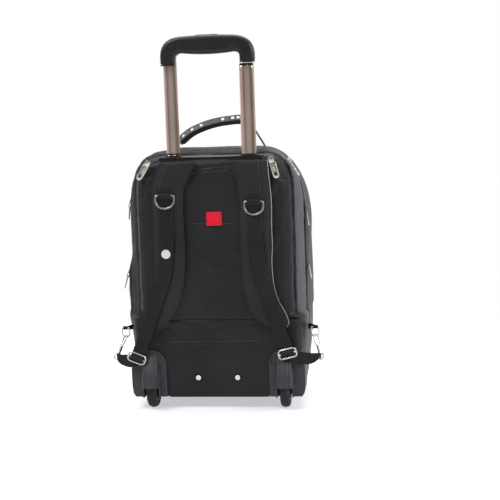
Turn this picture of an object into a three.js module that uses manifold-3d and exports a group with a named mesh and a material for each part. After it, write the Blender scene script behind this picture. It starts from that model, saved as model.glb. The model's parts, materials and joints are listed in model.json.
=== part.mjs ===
// Wheeled backpack: a soft bag on a moulded base with two wheels, a two-stage pull handle,
// and a harness of padded shoulder straps on its back.
// Millimetres. X points to the right of someone looking at the back, Y from the back towards
// the front pockets, Z up. The ground is Z = 0.
import * as THREE from 'three';
import { mergeVertices } from 'three/addons/utils/BufferGeometryUtils.js';
import Module from 'manifold-3d';

const wasm = await Module();
wasm.setup();

// Clearances and walls
const gap = 0.3;
const cloth = 1.6;
const plasticWall = 3;

// Soft bag
const bagWidth = 354;
const bagTop = 490;
const bagBottom = 24;
const bagDepth = 202;
const panelThick = 10;
const bootTop = 176;
const bootTaper = 14;
const bottomCorner = 14;

// Zips: their width along the depth, and the height where the side runs end
const zipWidth = 4.7;
const rearGussetDepth = 26;
const sideGussetDepth = 34;
const zipEnd = 178;
const frontZipEnd = 112;
const rearZipInner = bagWidth * 0.285;

// Front pockets
const upperPocketWidth = 244;
const upperPocketBottom = 318;
const upperPocketTop = 446;
const upperPocketDepth = 24;
const lowerPocketWidth = 286;
const lowerPocketBottom = 52;
const lowerPocketTop = 302;
const lowerPocketDepth = 43;

// Pull handle: section of the inner tube, wall of every tube, and the stages
const poleSpacing = 142;
const innerTubeWidth = 23;
const innerTubeDepth = 12;
const tubeWall = 1;
const poleY = 20.8;
const bezelTop = 478;
const bezelThick = 8;
const bezelWidth = 196;
const bezelDepth = 20.4;
const bezelLip = 3;
const stageTravel = 160;
const stageEngaged = 62;
const gripClearHeight = 645;
const collarHeight = 6;

// Grip of the pull handle
const gripWidth = 174;
const gripTop = 699;
const gripArm = 27;
const gripDepth = 30;
const gripBelly = 34;
const gripEnds = 28;
const gripCorner = 26;
const gripRound = 5;
const socketDepth = 22;
const buttonLength = 42;
const buttonWidth = 13;
const buttonTravel = 4;
const buttonProud = 1;
const buttonHeight = 6;

// Carry handle
const carryY = 105;
const carrySpan = 183;
const carryRise = 51;
const carryGripDepth = 24;
const carryGripHeight = 18;
const carryWebWidth = 20;
const webThick = 1.6;
const ventLength = 7;
const ventHeight = 4;
const ventCount = 3;

// Wheels and their housings
const wheelSpacing = bagWidth - 100;
const wheelRadius = 38;
const wheelWidth = 18;
const wheelRoom = 5;
const hubRadius = 25;
const axleRadius = 4;
const axleClearance = 0.3;
const wheelY = 15;
const wheelClearance = 3.5;
const housingHalf = 29;
const housingSpring = 86;
const guardOut = 42;
const guardTop = 82;
const housingBack = -3;
const housingFront = 62;
const fenderBulge = 26;
const slotTop = 46;

// Base plate and front feet
const plateThick = 3;
const upstandTop = 150;
const footSpacing = 200;
const footLength = 46;
const footDepth = 26;
const rivetSpacing = 75;
const rivetHeight = 60;
const rivetRadius = 5;
const rivetProud = 1.6;

// Harness
const padThick = 12;
const padGap = 0.8;
const webWidth = 25;
const ringWidth = 39;
const ringDrop = 28;
const ringWire = 4;
const keeperHeight = 11;
const slideLength = 37;
const slideHeight = 20.5;
const slideWire = 3.4;
const slideY = -17;
const hookWire = 2.6;
const hookEye = 5.5;
const hookLoopWide = 8;
const hookLoopTall = 12;
const hookLength = 45;
const hookOut = 18;
const hookDrop = 53;
const hookEyeY = 6;
const sideRingY = 28;
const tabWidth = 8;
const tabBoreGap = 0.5;
const sideRingWidth = 14;
const sideRingDrop = 18;
const badgeRadius = 8.5;
const badgeThick = 1.6;
const redTabWidth = 29;
const redTabHeight = 26;

// Zip pulls
const pullLength = 37;
const pullWidth = 12;
const pullThick = 2;
const pullNeck = 5.4;
const lugThick = 2;
const sidePullLength = 28;
const sidePullWidth = 7;

// Sections of the soft bag along its depth. at is a share of bagDepth; waist and foot are half
// widths above and below the boot seam, as shares of half of bagWidth; top and bottom are shares
// of the bag's height; wide and tall give the top corner, as shares of the waist and height, and
// square is how far that corner is from a round one, which is 2.
const bagSections = [
  { at: 0.05, waist: 0.785, foot: 0.893, top: 0.961, bottom: 0, wide: 0.35, tall: 0.15, square: 2.5 },
  { at: 0.075, waist: 0.797, foot: 0.91, top: 0.967, bottom: 0, wide: 0.37, tall: 0.165, square: 2.5 },
  { at: 0.155, waist: 0.838, foot: 0.935, top: 0.98, bottom: 0, wide: 0.35, tall: 0.15, square: 2.5 },
  { at: 0.2, waist: 0.875, foot: 0.95, top: 0.988, bottom: 0, wide: 0.39, tall: 0.18, square: 2.4 },
  { at: 0.33, waist: 0.952, foot: 0.972, top: 0.996, bottom: 0, wide: 0.48, tall: 0.26, square: 2.25 },
  { at: 0.45, waist: 0.984, foot: 0.985, top: 1, bottom: 0, wide: 0.55, tall: 0.322, square: 2.13 },
  { at: 0.65, waist: 1, foot: 0.985, top: 1, bottom: 0, wide: 0.55, tall: 0.322, square: 2.13 },
  { at: 0.92, waist: 0.987, foot: 0.975, top: 0.993, bottom: 0.002, wide: 0.55, tall: 0.32, square: 2.13 },
  { at: 0.98, waist: 0.955, foot: 0.945, top: 0.972, bottom: 0.012, wide: 0.54, tall: 0.31, square: 2.13 },
  { at: 1, waist: 0.91, foot: 0.905, top: 0.945, bottom: 0.03, wide: 0.52, tall: 0.29, square: 2.13 },
];

// How the padded back rounds over from its seam to its crown: out is a share of panelThick
// measured from the seam, in is how far the outline has drawn in, as a share of half bagWidth.
const panelSections = [
  { out: 0, in: 0 },
  { out: 0.42, in: 0.011 },
  { out: 0.76, in: 0.045 },
  { out: 0.94, in: 0.12 },
  { out: 1, in: 0.24 },
];

// Outer and inner edges of a shoulder strap down its length. height is a share of bagTop; inner
// and outer are shares of half bagWidth; swing is how much of a side's own sway is added.
const padRows = [
  { height: 0.957, inner: 0.235, outer: 0.6, swing: 0 },
  { height: 0.91, inner: 0.262, outer: 0.608, swing: 0 },
  { height: 0.867, inner: 0.29, outer: 0.618, swing: 0 },
  { height: 0.796, inner: 0.305, outer: 0.63, swing: 0 },
  { height: 0.71, inner: 0.305, outer: 0.624, swing: 0 },
  { height: 0.637, inner: 0.302, outer: 0.627, swing: 0 },
  { height: 0.571, inner: 0.302, outer: 0.616, swing: 0.1 },
  { height: 0.486, inner: 0.309, outer: 0.63, swing: 0.5 },
  { height: 0.427, inner: 0.34, outer: 0.672, swing: 0.8 },
  { height: 0.382, inner: 0.386, outer: 0.735, swing: 1 },
  { height: 0.343, inner: 0.465, outer: 0.775, swing: 1 },
  { height: 0.322, inner: 0.56, outer: 0.752, swing: 1 },
];

// Centre line of the webbing that lies on each strap and runs down to the slide. across is a
// share of half bagWidth, height of bagTop, and lift of padThick, out from the pad's face.
const webRows = [
  { across: 0.462, height: 0.67, lift: 0, swing: 0.2 },
  { across: 0.478, height: 0.58, lift: 0, swing: 0.3 },
  { across: 0.508, height: 0.518, lift: 0, swing: 0.3 },
  { across: 0.573, height: 0.449, lift: 0, swing: 0.4 },
  { across: 0.647, height: 0.357, lift: 0, swing: 0.8 },
  { across: 0.68, height: 0.31, lift: -0.05, swing: 1 },
  { across: 0.715, height: 0.272, lift: -0.2, swing: 1.2 },
];

// The two sides of the harness differ in how they hang: sway is how far the strap's lower end
// swings out. slideX, ringX, slideZ, ringZ and tabZ place the slide, the D-ring and the ring in
// the side seam, as shares of half bagWidth and of bagTop, and tabOut is how far that last ring
// stands off half bagWidth.
const harnessSides = [
  {
    name: 'left', side: -1, sway: 10,
    slideX: 0.853, slideZ: 0.21, slideTurn: -22, ringX: 0.477, ringZ: 0.835, tabOut: 3, tabZ: 0.31,
  },
  {
    name: 'right', side: 1, sway: 0,
    slideX: 0.76, slideZ: 0.2245, slideTurn: -14, ringX: 0.455, ringZ: 0.806, tabOut: 7.5, tabZ: 0.308,
  },
];

// Small pulls on the bag's sides: place of the top, as shares of bagDepth and bagTop, and how
// far each leans out in degrees.
const sidePulls = [
  { name: 'upper_left', side: -1, deep: 0.356, height: 0.784, lean: 7 },
  { name: 'upper_right', side: 1, deep: 0.356, height: 0.747, lean: 7 },
  { name: 'lower_left', side: -1, deep: 0.376, height: 0.504, lean: 17 },
  { name: 'lower_right', side: 1, deep: 0.376, height: 0.537, lean: 10 },
];

// Pulls of the two rear zips, which hang at the upper corners of the back: across is a share of
// half bagWidth, height of bagTop, and lean is in degrees.
const rearPulls = [
  { name: 'left', side: -1, across: 0.655, height: 0.958, lean: 34 },
  { name: 'right', side: 1, across: 0.641, height: 0.961, lean: 16 },
];

// Centre line of the carry handle over the top of the bag. along is a share of half carrySpan
// and rise of carryRise. The moulded grip covers the rows from gripFrom to gripTo.
const carryRows = [
  { along: -1, rise: -0.026 },
  { along: -0.9, rise: 0.09 },
  { along: -0.78, rise: 0.2 },
  { along: -0.54, rise: 0.53 },
  { along: -0.26, rise: 0.745 },
  { along: 0.03, rise: 0.88 },
  { along: 0.35, rise: 0.95 },
  { along: 0.5, rise: 0.96 },
  { along: 0.63, rise: 0.92 },
  { along: 0.76, rise: 0.7 },
  { along: 0.88, rise: 0.36 },
  { along: 0.965, rise: 0.1 },
  { along: 1, rise: -0.026 },
];
const carryGripFrom = 2;
const carryGripTo = 8;
const carryGripSeat = 0.2;

// Materials
const paint = (name, color, roughness, metalness = 0) =>
  new THREE.MeshStandardMaterial({ name, color, roughness, metalness });
const blackCloth = paint('black_cloth', 0x2a2a2e, 0.85);
const greyCloth = paint('grey_cloth', 0x5c5d62, 0.85);
const zipTape = paint('zip_tape', 0x1c1c1f, 0.7);
const webbing = paint('webbing', 0x242427, 0.8);
const blackPlastic = paint('black_plastic', 0x1e1e20, 0.5);
const housingPlastic = paint('housing_plastic', 0x333337, 0.55);
const rubber = paint('rubber', 0x1a1a1a, 0.8);
const anodised = paint('anodised_aluminium', 0x9a8676, 0.3, 0.9);
const steel = paint('bright_steel', 0xc4c4c2, 0.25, 1);
const redCloth = paint('red_cloth', 0xc8202c, 0.8);

const bag = new THREE.Group();

// Turns a closed geometry into a solid that can be cut and joined.
function toSolid(geometry) {
  const bare = geometry.index ? geometry.toNonIndexed() : geometry.clone();
  bare.deleteAttribute('normal');
  bare.deleteAttribute('uv');
  const merged = mergeVertices(bare, 1e-4);
  return new wasm.Manifold(new wasm.Mesh({
    numProp: 3,
    vertProperties: Float32Array.from(merged.attributes.position.array),
    triVerts: Uint32Array.from(merged.index.array),
  }));
}

// Turns a solid back into a geometry.
function toGeometry(solid) {
  const mesh = solid.getMesh();
  const geometry = new THREE.BufferGeometry();
  geometry.setAttribute('position', new THREE.BufferAttribute(Float32Array.from(mesh.vertProperties), 3));
  geometry.setIndex(new THREE.BufferAttribute(Uint32Array.from(mesh.triVerts), 1));
  return geometry;
}

// Adds one named piece to a group.
function addPiece(name, shape, material, parent = bag) {
  const geometry = shape.isBufferGeometry ? shape : toGeometry(shape);
  geometry.computeVertexNormals();
  const mesh = new THREE.Mesh(geometry, material);
  mesh.name = name;
  parent.add(mesh);
  return mesh;
}

function mix(a, b, share) {
  return a + (b - a) * share;
}

// A closed body through rings of points that all have the same count. wrap joins the last ring
// to the first, as on a wire bent into a loop.
function loft(rings, wrap = false) {
  const count = rings[0].length;
  const points = rings.flat();
  const faces = [];
  const bands = wrap ? rings.length : rings.length - 1;
  for (let band = 0; band < bands; band += 1) {
    const next = (band + 1) % rings.length;
    for (let i = 0; i < count; i += 1) {
      const j = (i + 1) % count;
      faces.push(band * count + i, band * count + j, next * count + j);
      faces.push(band * count + i, next * count + j, next * count + i);
    }
  }
  if (!wrap) {
    [0, rings.length - 1].forEach((ring, end) => {
      const centre = new THREE.Vector3();
      rings[ring].forEach((point) => centre.addScaledVector(point, 1 / count));
      points.push(centre);
      for (let i = 0; i < count; i += 1) {
        const a = ring * count + i;
        const b = ring * count + (i + 1) % count;
        faces.push(points.length - 1, end ? a : b, end ? b : a);
      }
    });
  }
  let volume = 0;
  for (let i = 0; i < faces.length; i += 3) {
    const [a, b, c] = faces.slice(i, i + 3).map((index) => points[index]);
    volume += a.dot(new THREE.Vector3().crossVectors(b, c));
  }
  if (volume < 0) {
    faces.reverse();
  }
  const geometry = new THREE.BufferGeometry();
  geometry.setFromPoints(points);
  geometry.setIndex(faces);
  return geometry;
}

function block(x0, x1, y0, y1, z0, z1) {
  const geometry = new THREE.BoxGeometry(x1 - x0, y1 - y0, z1 - z0);
  geometry.translate((x0 + x1) / 2, (y0 + y1) / 2, (z0 + z1) / 2);
  return toSolid(geometry);
}

// Extrudes a shape drawn in X and Z along Y.
function slabAlongY(shape, y0, y1, bevel = {}) {
  const options = { depth: y1 - y0, bevelEnabled: false, curveSegments: 5, ...bevel };
  const geometry = new THREE.ExtrudeGeometry(shape, options);
  geometry.rotateX(Math.PI / 2);
  geometry.translate(0, y1, 0);
  return geometry;
}

// Extrudes a shape drawn in Y and Z along X.
function slabAlongX(shape, x0, x1) {
  const geometry = new THREE.ExtrudeGeometry(shape, {
    depth: x1 - x0, bevelEnabled: false, curveSegments: 8,
  });
  const turn = new THREE.Matrix4().makeBasis(
    new THREE.Vector3(0, 1, 0),
    new THREE.Vector3(0, 0, 1),
    new THREE.Vector3(1, 0, 0),
  );
  geometry.applyMatrix4(turn);
  geometry.translate(x0, 0, 0);
  return geometry;
}

function cylinderAlong(axis, radius, length, sides) {
  const geometry = new THREE.CylinderGeometry(radius, radius, length, sides);
  if (axis === 'x') {
    geometry.rotateZ(Math.PI / 2);
  }
  if (axis === 'z') {
    geometry.rotateX(Math.PI / 2);
  }
  return geometry;
}

// A rounded rectangle in the shape's own plane, centred on a point.
function roundedRectangle(width, height, radius, x = 0, y = 0) {
  const shape = new THREE.Shape();
  const w = width / 2;
  const h = height / 2;
  shape.moveTo(x - w + radius, y - h);
  shape.lineTo(x + w - radius, y - h);
  shape.absarc(x + w - radius, y - h + radius, radius, -Math.PI / 2, 0);
  shape.lineTo(x + w, y + h - radius);
  shape.absarc(x + w - radius, y + h - radius, radius, 0, Math.PI / 2);
  shape.lineTo(x - w + radius, y + h);
  shape.absarc(x - w + radius, y + h - radius, radius, Math.PI / 2, Math.PI);
  shape.lineTo(x - w, y - h + radius);
  shape.absarc(x - w + radius, y - h + radius, radius, Math.PI, Math.PI * 1.5);
  return shape;
}

// Soft bag
const bagHeight = bagTop - bagBottom;
const bagHalf = bagWidth / 2;

function sectionAt(y) {
  const share = THREE.MathUtils.clamp(y / bagDepth, bagSections[0].at, 1);
  const next = Math.max(1, bagSections.findIndex((row) => row.at >= share - 1e-9));
  const a = bagSections[next - 1];
  const b = bagSections[next];
  const t = (share - a.at) / (b.at - a.at);
  const row = {};
  Object.keys(a).forEach((key) => {
    row[key] = mix(a[key], b[key], t);
  });
  return row;
}

// One ring round the bag at a depth: a flat bottom, boot sides that taper down, a step at the
// boot seam, straight sides and round top corners.
function bagRing(y, inset = 0, place = y) {
  const row = sectionAt(y);
  const waist = row.waist * bagHalf - inset;
  const foot = row.foot * bagHalf - inset;
  const top = bagBottom + row.top * bagHeight - inset;
  const bottom = bagBottom + row.bottom * bagHeight + inset;
  const cornerWide = row.wide * waist;
  const cornerTall = row.tall * bagHeight;
  const bootSeam = 5;
  const cornerSteps = 5;
  const footAt = (z) => foot - bootTaper * ((bootTop - z) / (bootTop - bagBottom)) ** 2;
  const half = [];
  [1, 0].forEach((share) => {
    const angle = share * Math.PI / 2;
    const x = footAt(bottom + bottomCorner) - bottomCorner * (1 - Math.cos(angle));
    half.push([x, bottom + bottomCorner * (1 - Math.sin(angle))]);
  });
  [0.5].forEach((share) => {
    const z = mix(bottom + bottomCorner, bootTop - bootSeam, share);
    half.push([footAt(z), z]);
  });
  half.push([foot, bootTop - bootSeam]);
  [0, 0.5].forEach((share) => {
    half.push([waist, mix(bootTop + bootSeam, top - cornerTall, share)]);
  });
  for (let step = 0; step <= cornerSteps; step += 1) {
    const angle = step / cornerSteps * Math.PI / 2;
    const x = waist - cornerWide + cornerWide * Math.cos(angle) ** (2 / row.square);
    half.push([x, top - cornerTall + cornerTall * Math.sin(angle) ** (2 / row.square)]);
  }
  const right = half.map(([x, z]) => new THREE.Vector3(x, place, z));
  const left = half.map(([x, z]) => new THREE.Vector3(-x, place, z)).reverse();
  return [new THREE.Vector3(0, place, bottom), ...right, new THREE.Vector3(0, place, top), ...left];
}

// The bag's form between two depths, drawn in by inset. overFrom and overTo carry its ends on
// straight, so that what it is cut from is left open there.
function bagLoft(y0, y1, inset, overFrom = 0, overTo = overFrom) {
  const depths = bagSections.map((row) => row.at * bagDepth).filter((y) => y > y0 + 0.5 && y < y1 - 0.5);
  const rings = [y0, ...depths, y1].map((y) => bagRing(y, inset));
  if (overFrom) {
    rings.unshift(bagRing(y0, inset, y0 - overFrom));
  }
  if (overTo) {
    rings.push(bagRing(y1, inset, y1 + overTo));
  }
  return toSolid(loft(rings));
}

// A band of the bag's wall between two depths, open at both ends.
function bagBand(y0, y1, wall = cloth) {
  return bagLoft(y0, y1, 0).subtract(bagLoft(y0, y1, wall, 1));
}

const farX = bagWidth;
const farZ = bagTop * 2;
const rearZipFrom = panelThick + gap;
const rearZipTo = rearZipFrom + zipWidth;
const mainZipTo = panelThick + rearGussetDepth;
const mainZipFrom = mainZipTo - zipWidth;
const frontZipTo = mainZipTo + sideGussetDepth;
const frontZipFrom = frontZipTo - zipWidth;

// Wheel housings: their outline in X and Z, grown by a clearance for what has to miss them.
const wheelX = wheelSpacing / 2;

function housingShape(side, grow) {
  const inner = wheelX - housingHalf - grow;
  const outer = wheelX + housingHalf + grow;
  const guard = wheelX + guardOut + grow;
  const low = bagBottom - grow;
  const shape = new THREE.Shape();
  shape.moveTo(side * inner, low);
  shape.lineTo(side * inner, housingSpring);
  const steps = 9;
  for (let step = 1; step <= steps; step += 1) {
    const angle = Math.PI * (1 - step / steps);
    const x = wheelX + (housingHalf + grow) * Math.cos(angle);
    shape.lineTo(side * x, housingSpring + (housingHalf + grow) * Math.sin(angle));
  }
  shape.lineTo(side * outer, guardTop + grow);
  shape.lineTo(side * guard, guardTop + grow);
  shape.lineTo(side * (guard - 1), mix(bagBottom, guardTop, 0.6));
  shape.lineTo(side * (guard - 4), mix(bagBottom, guardTop, 0.2));
  shape.lineTo(side * (guard - 11), low);
  shape.closePath();
  return shape;
}

function housingEnvelope(side) {
  const past = 10;
  return toSolid(slabAlongY(housingShape(side, gap), housingBack - past, housingFront + gap));
}

const housingLeft = housingEnvelope(-1);
const housingRight = housingEnvelope(1);
const clearOfHousings = (solid) => solid.subtract(housingLeft).subtract(housingRight);

// Padded back, rounding over to its crown at Y = 0, between two heights.
function panelShape(from, to, grow = 0) {
  const rings = panelSections.map(({ out, in: drawn }) => {
    const place = panelThick * (1 - out) - grow;
    return bagRing(panelThick, drawn * bagHalf - grow, place);
  });
  const keep = block(-farX, farX, -panelThick, panelThick, from, to);
  return toSolid(loft(rings)).intersect(keep);
}

const panelSeam = bootTop - 5;
const upstandHalf = wheelX - housingHalf - 3;
const upstandFrom = panelThick - gap - plateThick;
const plateTop = bagBottom - gap;
const upstandSpace = block(
  -upstandHalf - gap, upstandHalf + gap, upstandFrom - gap, panelThick + gap, 0, upstandTop + gap,
);
const rivetPlaces = [{ name: 'left', side: -1 }, { name: 'right', side: 1 }];
const rivetShank = rivetRadius * 0.45;
const rivetHole = (side) => toSolid(cylinderAlong('y', rivetShank + gap, panelThick * 2, 8))
  .translate(side * rivetSpacing / 2, panelThick / 2, rivetHeight);
const drilled = (solid) => solid.subtract(rivetHole(-1)).subtract(rivetHole(1));
addPiece('back_panel', panelShape(panelSeam + gap, farZ), blackCloth);
const lowerPanel = clearOfHousings(panelShape(0, panelSeam)).subtract(upstandSpace);
addPiece('lower_panel', drilled(lowerPanel), blackCloth);

// Rear gusset: the black band between the two rear zips, one cloth with the back of the boot.
const bezelHalf = bezelWidth / 2;
const bezelFrom = panelThick + 2 * gap;
const bezelTo = bezelFrom + bezelDepth;
const bezelSpace = block(
  -bezelHalf - gap, bezelHalf + gap, 0, bezelTo + gap, bezelTop - bezelThick - 14, farZ,
);
const rearZipSpace = block(-farX, farX, 0, rearZipTo + gap, zipEnd - gap, farZ);
const mainZipSpace = block(-farX, farX, mainZipFrom - gap, farX, zipEnd - gap, farZ);
const bootBack = bagLoft(rearZipFrom, rearZipFrom + cloth, 0)
  .intersect(block(-farX, farX, 0, farX, 0, panelSeam));
const rearGusset = bagBand(rearZipFrom, mainZipTo)
  .subtract(rearZipSpace)
  .subtract(mainZipSpace)
  .subtract(bezelSpace)
  .add(bootBack);
addPiece('rear_gusset', clearOfHousings(rearGusset), blackCloth);

// Zips that close the bag. Each rear zip runs from its top corner down one side, and carries a
// slider with two lugs for its pull.
function zipBand(y0, y1, from) {
  return bagBand(y0, y1).intersect(block(-farX, farX, 0, farX, from, farZ));
}

function sliderAt(pull, crownTo, keelTo, keelWide) {
  const wide = pullNeck + 2 * (lugThick + gap);
  const clear = pullThick + gap;
  const crown = block(-wide / 2, wide / 2, clear, crownTo, -5, 3);
  const keel = block(-keelWide / 2, keelWide / 2, clear, keelTo, -5, 3);
  const lug = block(-lugThick / 2, lugThick / 2, -1.5, clear + 1, -2, 2);
  const away = pullNeck / 2 + gap + lugThick / 2;
  const slider = crown.add(keel).add(lug.translate(-away, 0, 0)).add(lug.translate(away, 0, 0));
  pull.updateWorldMatrix(true, false);
  return slider.transform(pull.matrixWorld.elements);
}

// Zip pulls: a flat tab with a hole near its end, hung between its slider's lugs. The group's
// origin is the pivot, its X axis the pivot's axis, and the tab hangs along its minus Z.
function pullTab() {
  const shape = new THREE.Shape();
  const half = pullWidth / 2;
  const neck = pullNeck / 2;
  const eye = pullThick * 0.65;
  shape.moveTo(-neck, eye);
  shape.lineTo(-neck, -neck * 1.5);
  shape.lineTo(-half, -neck * 2.5);
  shape.lineTo(-half, -pullLength + half);
  shape.absarc(0, -pullLength + half, half, Math.PI, Math.PI * 2);
  shape.lineTo(half, -neck * 2.5);
  shape.lineTo(neck, -neck * 1.5);
  shape.lineTo(neck, eye);
  shape.closePath();
  const hole = new THREE.Path();
  hole.absellipse(0, -pullLength + half * 1.4, half * 0.42, half * 0.62, 0, Math.PI * 2);
  shape.holes.push(hole);
  return slabAlongY(shape, -pullThick / 2, pullThick / 2);
}

const pullPlace = pullThick / 2 + 2 * gap + 0.2;
rearPulls.forEach(({ name, side, across, height, lean }) => {
  const group = new THREE.Group();
  group.position.set(side * across * bagHalf, -pullPlace, height * bagTop);
  group.rotation.y = -side * THREE.MathUtils.degToRad(lean);
  bag.add(group);
  addPiece(`zip_pull_${name}`, pullTab(), steel, group);
  const run = zipBand(rearZipFrom, rearZipTo, zipEnd);
  const oneSide = block(rearZipInner, farX, 0, farX, 0, farZ);
  const half = run.intersect(side > 0 ? oneSide : oneSide.mirror([1, 0, 0]));
  const reach = rearZipTo + pullPlace - 1;
  const nearPanel = panelShape(0, farZ, gap);
  const slider = sliderAt(group, reach, reach, pullNeck)
    .subtract(nearPanel)
    .subtract(nearPanel.translate(0, 2 * gap, 0));
  addPiece(`rear_zip_${name}`, half.add(slider), zipTape);
});

// A point on the bag's round top corner at a depth, and the outward direction there. turn is 0
// at the side and 1 at the top.
function cornerAt(y, turn) {
  const row = sectionAt(y);
  const waist = row.waist * bagHalf;
  const wide = row.wide * waist;
  const tall = row.tall * bagHeight;
  const place = (share) => {
    const angle = share * Math.PI / 2;
    const x = waist - wide + wide * Math.cos(angle) ** (2 / row.square);
    const rise = tall * Math.sin(angle) ** (2 / row.square);
    return new THREE.Vector3(x, y, bagBottom + row.top * bagHeight - tall + rise);
  };
  const along = place(turn - 0.02).sub(place(turn + 0.02)).normalize();
  return { point: place(turn), along, out: new THREE.Vector3(-along.z, 0, along.x) };
}

// The main zip runs over the top from side to side. Its pull lies edge-on along the corner.
const crownThick = 2;
const crownClear = 2.8;
const mainPullTurn = 0.5;
const mainPullTilt = 4;
const mainPull = new THREE.Group();
const corner = cornerAt((mainZipFrom + mainZipTo - gap) / 2, mainPullTurn);
const pivotRise = pullThick + gap + crownThick + crownClear;
mainPull.position.copy(corner.point).addScaledVector(corner.out, pivotRise);
mainPull.quaternion.setFromRotationMatrix(new THREE.Matrix4().makeBasis(
  new THREE.Vector3(0, 1, 0),
  corner.out.clone().negate(),
  corner.along.clone().negate(),
));
const mainTab = new THREE.Group();
mainTab.rotation.x = THREE.MathUtils.degToRad(mainPullTilt);
mainPull.add(mainTab);
bag.add(mainPull);
addPiece('zip_pull_main', pullTab(), steel, mainTab);
const mainSlider = sliderAt(mainPull, pullThick + gap + crownThick, pivotRise + cloth, zipWidth - 2 * gap);
addPiece('main_zip', zipBand(mainZipFrom, mainZipTo - gap, zipEnd).add(mainSlider), zipTape);

// Grey side gusset, the front zip behind its edge, the black shell, and the front wall, which is
// sewn to the shell a little behind its round edge.
const frontZipSpace = block(-farX, farX, frontZipFrom - gap, farX, frontZipEnd - gap, farZ);
const sideGusset = bagBand(mainZipTo + gap, frontZipTo).subtract(frontZipSpace);
addPiece('side_gusset', clearOfHousings(sideGusset), greyCloth);
addPiece('front_zip', zipBand(frontZipFrom, frontZipTo - gap, frontZipEnd), zipTape);
const shellFrom = frontZipTo + gap;
const shellHollow = bagLoft(shellFrom, bagDepth - 2 * cloth, cloth, 1, 0);
const wallSeam = bagDepth * 0.92;
const wholeShell = bagLoft(shellFrom, bagDepth, 0).subtract(shellHollow);
addPiece('main_shell', wholeShell.intersect(block(-farX, farX, 0, wallSeam, -1, farZ)), blackCloth);
addPiece(
  'front_wall',
  wholeShell.intersect(block(-farX, farX, wallSeam + gap, bagDepth + 1, -1, farZ)),
  blackCloth,
);

// Front pockets: bulging cups whose open side lies on the bag's front wall.
function pocket(width, bottom, top, depth) {
  const rows = [
    { out: 0, in: 0 },
    { out: 0.7, in: 0.01 },
    { out: 0.93, in: 0.05 },
    { out: 1, in: 0.13 },
  ];
  const cornerSteps = 3;
  const ringAt = ({ out, in: drawn }, inset) => {
    const w = width / 2 - drawn * width - inset;
    const h = (top - bottom) / 2 - drawn * width - inset;
    const radius = width * 0.14 - inset;
    const points = [];
    [[1, 1], [-1, 1], [-1, -1], [1, -1]].forEach(([sx, sz], corner) => {
      for (let step = 0; step <= cornerSteps; step += 1) {
        const angle = (corner + step / cornerSteps) * Math.PI / 2;
        const x = sx * (w - radius) + radius * Math.cos(angle);
        const z = (top + bottom) / 2 + sz * (h - radius) + radius * Math.sin(angle);
        points.push(new THREE.Vector3(x, bagDepth + gap + out * depth - (out ? inset : 1), z));
      }
    });
    return points;
  };
  const outer = toSolid(loft(rows.map((row) => ringAt(row, 0))));
  const inner = toSolid(loft(rows.map((row) => ringAt(row, cloth))));
  const past = block(-farX, farX, 0, bagDepth + gap, 0, farZ);
  return outer.subtract(inner).subtract(past);
}

addPiece(
  'front_pocket_upper',
  pocket(upperPocketWidth, upperPocketBottom, upperPocketTop, upperPocketDepth),
  blackCloth,
);
addPiece(
  'front_pocket_lower',
  pocket(lowerPocketWidth, lowerPocketBottom, lowerPocketTop, lowerPocketDepth),
  blackCloth,
);

// Base plate: a flat plate under the bag, an upstand behind the lower panel and two front feet.
const footFront = bagDepth * 0.965;
const plateFoot = plateTop - plateThick;
const plate = block(-upstandHalf, upstandHalf, upstandFrom, footFront, plateFoot, plateTop);
const upstand = block(
  -upstandHalf, upstandHalf, upstandFrom, upstandFrom + plateThick, plateFoot, upstandTop,
);
const frontBar = block(
  -footSpacing / 2, footSpacing / 2, footFront - footDepth, footFront, plateFoot, plateTop,
);
const footY = footFront - footDepth / 2;
const feet = [-1, 1].map((side) => {
  const outline = roundedRectangle(footLength, footDepth, 6, side * footSpacing / 2, footY);
  return toSolid(new THREE.ExtrudeGeometry(outline, {
    depth: plateTop, bevelEnabled: false, curveSegments: 2,
  }));
});
addPiece('base_plate', drilled(plate.add(upstand)).add(frontBar).add(feet[0]).add(feet[1]), blackPlastic);

rivetPlaces.forEach(({ name, side }) => {
  const headThick = rivetProud;
  const head = toSolid(cylinderAlong('y', rivetRadius, headThick, 16))
    .translate(0, -gap - headThick / 2, 0);
  const shankLength = upstandFrom + plateThick + gap;
  const shank = toSolid(cylinderAlong('y', rivetShank, shankLength, 8))
    .translate(0, shankLength / 2 - 2 * gap, 0);
  const rivet = addPiece(`rivet_${name}`, head.add(shank), steel);
  rivet.position.set(side * rivetSpacing / 2, 0, rivetHeight);
});

// Wheel housings: a thin moulded corner with a well for the wheel, a fender that bulges out
// behind, and the axle pin between the well's walls.
const wellHalf = wheelWidth / 2 + wheelRoom;
const wellRadius = wheelRadius + wheelClearance;

function fenderShape() {
  const shape = new THREE.Shape();
  const back = housingBack - fenderBulge;
  const crown = wheelRadius * 2 + wheelClearance + plasticWall * 3;
  shape.moveTo(housingFront / 2, slotTop);
  shape.lineTo(housingFront / 2, crown);
  shape.lineTo(housingBack, crown);
  shape.quadraticCurveTo(back * 0.9, crown - 9, back, slotTop + 6);
  shape.lineTo(back, slotTop);
  shape.closePath();
  return shape;
}

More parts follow.
